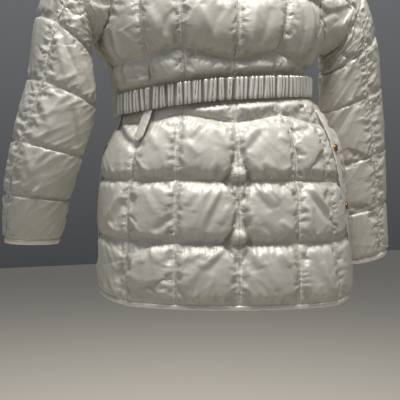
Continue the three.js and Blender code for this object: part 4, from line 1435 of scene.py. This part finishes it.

# %% [markdown]
# ## Belt
# The belt is a doubled band of the shell cloth, gathered over wide elastic. Each gather is a narrow rounded
# ridge across the belt, none quite like the next, and where it meets an edge it makes a small tooth. The real
# valleys are folds far narrower than this grid can follow, so the shade deep in them is painted as a darker
# colour.

# %% Belt path


def height_of(t, z):
    """The height h whose cloth lies at the height z."""
    h = np.array(z, float) + 0 * t
    for _ in range(6):
        h = h + z - surface(t, h)[..., 2]
    return h


def belt_base(t):
    z = BELT_HEIGHT + 0 * t
    for _ in range(4):
        z = belt_height(surface(t, height_of(t, z))[..., 0])
    h = height_of(t, z)
    n = outward(t, h) * np.array([1.0, 1.0, 0.0])
    return surface(t, h), unit(n)


def evenly(t, points, pitch):
    """The angles again, at even steps along the path of the points."""
    run = np.concatenate([[0], np.cumsum(np.linalg.norm(np.diff(points, axis=0), axis=1))])
    return np.interp(np.linspace(0, run[-1], round(run[-1] / pitch) + 1), run, t), run[-1]


# %% Gathered belt
GATHER_SIZES = (4.8, 10.5)    # from the narrowest gather to the widest
GATHER_DEPTH = 6.5
TOOTH = 3.0                   # how far a gather reaches past the belt's edge


def gathers(run, across, seed):
    """0 in the valley between two gathers and 1 on a ridge. run and across are mm along and across."""
    rng = np.random.default_rng(seed)
    sizes = rng.uniform(*GATHER_SIZES, 400)
    starts = np.cumsum(sizes) - sizes[0]
    lean = np.interp(run, starts, rng.uniform(-0.09, 0.09, 400)) * across
    tall = np.interp(run, starts, rng.uniform(0.45, 1.0, 400))
    place = run + lean
    k = np.clip(np.searchsorted(starts, place, side="right") - 1, 0, 398)
    share = (place - starts[k]) / sizes[k]
    return np.abs(np.sin(np.pi * np.clip(share, 0, 1))) ** 0.85 * tall + (1 - tall) * 0.3


def gathered_belt():
    angles = np.linspace(179.6, -179.6, 721)
    base, n = belt_base(angles)
    angles, length = evenly(angles, base + n * (BELT_OFF + BELT_THICK / 2), 1.05)
    base, n = belt_base(angles)
    run = np.linspace(0, length, len(angles))[None, :]
    across = np.linspace(-1, 1, 17)[:, None]
    ridge = gathers(run, across * BELT_WIDTH / 2, 3)
    inside_ridge = gathers(run, across * BELT_WIDTH / 2, 11)
    crown = np.sqrt(np.maximum(0, 1 - np.abs(across) ** 4))
    deep = GATHER_DEPTH * (0.55 + 0.45 * crown)
    middle = base + n * (BELT_OFF + BELT_THICK / 2)
    up = np.zeros((1, 1, 3))
    up[..., 2] = 1
    tooth = across ** 8 * (ridge - 0.6) * TOOTH * np.sign(across)
    spine = middle[None] + up * (across * BELT_WIDTH / 2 + tooth)[..., None]
    sway = np.abs(across) ** 6 * np.sin(run / 3.1 + 2 * np.sin(run / 17)) * 0.9
    half = BELT_THICK / 2 * crown + 0.2
    outer = spine + n[None] * (half - deep * (1 - ridge) + sway * 0.5)[..., None]
    inner = spine - n[None] * (half - 1.2 * (1 - inside_ridge) - sway * 0.5)[..., None]
    gap = np.sum((outer - inner) * n[None], axis=-1, keepdims=True)
    inner = inner - n[None] * np.maximum(0, 0.5 - gap)
    mesh = grid_mesh("belt", outer)
    # This mask of the gathers drives the painted shade in the belt's valleys: 0 deep in a valley and 1 on a
    # ridge.
    shown = np.clip((ridge - 0.15) / 0.5, 0, 1)
    set_attribute(mesh, "gather", np.stack([shown, shown, shown], -1))
    thing = wall("belt", mesh, inner, BAND)
    return length


print("belt length, mm:", round(gathered_belt()))

# %% Belt tab
tab_angles = np.linspace(180 + 14, 180 - 14, 41)
base, n = belt_base(tab_angles)
across = np.linspace(-1, 1, 13)[:, None, None] * np.array([0.0, 0.0, BELT_WIDTH / 2])
tab_under = base[None] + n[None] * (BELT_OFF + BELT_THICK + SEAM_GAP) + across
thing, length, width = strip("belt_tab", tab_under, n[None] + 0 * tab_under, STRIP_THICK, PLAIN,
                             (30, 0.1, 0.2), stitched=3.0, seed=8, square=8.0)
print("tab length, mm:", round(length))

# %% [markdown]
# ## Belt loop
# A tape of the shell cloth runs down under the belt at the left back, over the long seam, and holds the belt
# up. Its lower end is turned in, rounded, and stitched across.

# %% Loop
LOOP = table(
    "h aside half off",
    (-457, 0, 6, 10),
    (-452, 0, 9, 10.5),
    (-432, 0, 9.5, 11.5),
    (-410, 2, 9.5, 10.5),
    (-393, 4, 9.5, 9),
    (-372, 6, 9, 8.5),
)


def loop_at(h, place):
    aside, half, off = (column(LOOP, n, h) for n in ("aside", "half", "off"))
    round_end = np.sqrt(np.clip((h - LOOP_END) / 7.0, 0.02, 1))
    t_seam = seam("outer", "left", h)
    t = besides(t_seam, h, aside + place * half * np.maximum(round_end, 0.35))
    n = outward(t_seam + 0 * t, h + 0 * t)
    return surface(t, h) + n * (off - 1 + 0 * t)[..., None], n


loop_rows = stops([LOOP_END, LOOP_END + 5, LOOP[-1]["h"]], 2.0)
points, n = loop_at(loop_rows[:, None], np.linspace(1, -1, 11)[None, :])
thing, length, width = strip("belt_loop", points, n, 2.0, SHELL, (13, 0.25, 0.3), stitched=2.2, seed=9,
                             square=6.0)
print("loop, mm:", round(length), "long and", round(width), "wide")

# %% [markdown]
# ## Snaps
# Each snap is a domed brass cap with a rolled rim. Spinning its profile round the axis makes the whole cap,
# and the same mesh code is used for all of them, turned to lie flat on its strip.

# %% Snaps


def cap_mesh(name):
    """A cap with its back on the XY plane."""
    profile = ((0, 2.6), (2.2, 2.75), (3.9, 2.55), (4.9, 2.0), (5.3, 1.75), (5.7, 2.3), (6.3, 2.7),
               (6.9, 2.4), (7.4, 1.6), (7.5, 0.8), (7.2, 0.0), (0, 0))
    made = bmesh.new()
    last = None
    for r, z in profile:
        vertex = made.verts.new((r, 0, z))
        if last:
            made.edges.new((last, vertex))
        last = vertex
    bmesh.ops.spin(made, geom=made.verts[:] + made.edges[:], cent=(0, 0, 0), axis=(0, 0, 1),
                   angle=2 * math.pi, steps=32, use_merge=True, use_duplicate=False)
    bmesh.ops.remove_doubles(made, verts=made.verts[:], dist=0.01)
    bmesh.ops.recalc_face_normals(made, faces=made.faces[:])
    for face in made.faces:
        face.smooth = True
    mesh = bpy.data.meshes.new(name)
    made.to_mesh(mesh)
    made.free()
    return mesh


def snap(name, point, normal):
    mesh = cap_mesh(name)
    turn = Vector((0, 0, 1)).rotation_difference(Vector(normal)).to_matrix().to_4x4()
    mesh.transform(turn)
    co = np.empty(len(mesh.vertices) * 3, np.float32)
    mesh.vertices.foreach_get("co", co)
    mesh.vertices.foreach_set("co", ((co.reshape(-1, 3) + point) * MM).astype(np.float32).ravel())
    mesh.update()
    thing = cloth_object(name, mesh, BRASS)


FACE = STRIP_OFF + STRIP_THICK + SNAP_GAP
for side in WAY:
    for number, h in enumerate(VENT_SNAPS, 1):
        t = besides(seam("side", side, h), h, WAY[side] * (VENT_GAP / 2 + FACING_WIDTH / 2))
        snap(f"vent_snap_{side}_{number}", surface(t, h) + outward(t, h) * FACE, outward(t, h))
for number, h in enumerate(FRONT_SNAPS, 1):
    snap(f"front_snap_{number}", surface(180.0, h) + outward(180.0, h) * FACE, outward(180.0, h))
base, n = belt_base(np.array([180.0]))
snap("belt_snap", (base + n * (BELT_OFF + BELT_THICK + SEAM_GAP + STRIP_THICK + SNAP_GAP))[0], n[0])
print("snaps:", 2 * len(VENT_SNAPS) + len(FRONT_SNAPS) + 1)

# %% [markdown]
# The looks may stand a little proud of the solids, because cloth does, but no more. The box round all the
# shown pieces is worked out here.

# %% Finish
low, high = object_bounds()
faces = [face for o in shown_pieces() if o.type == "MESH" for face in o.data.polygons]
print("triangles:", sum(len(face.vertices) - 2 for face in faces))
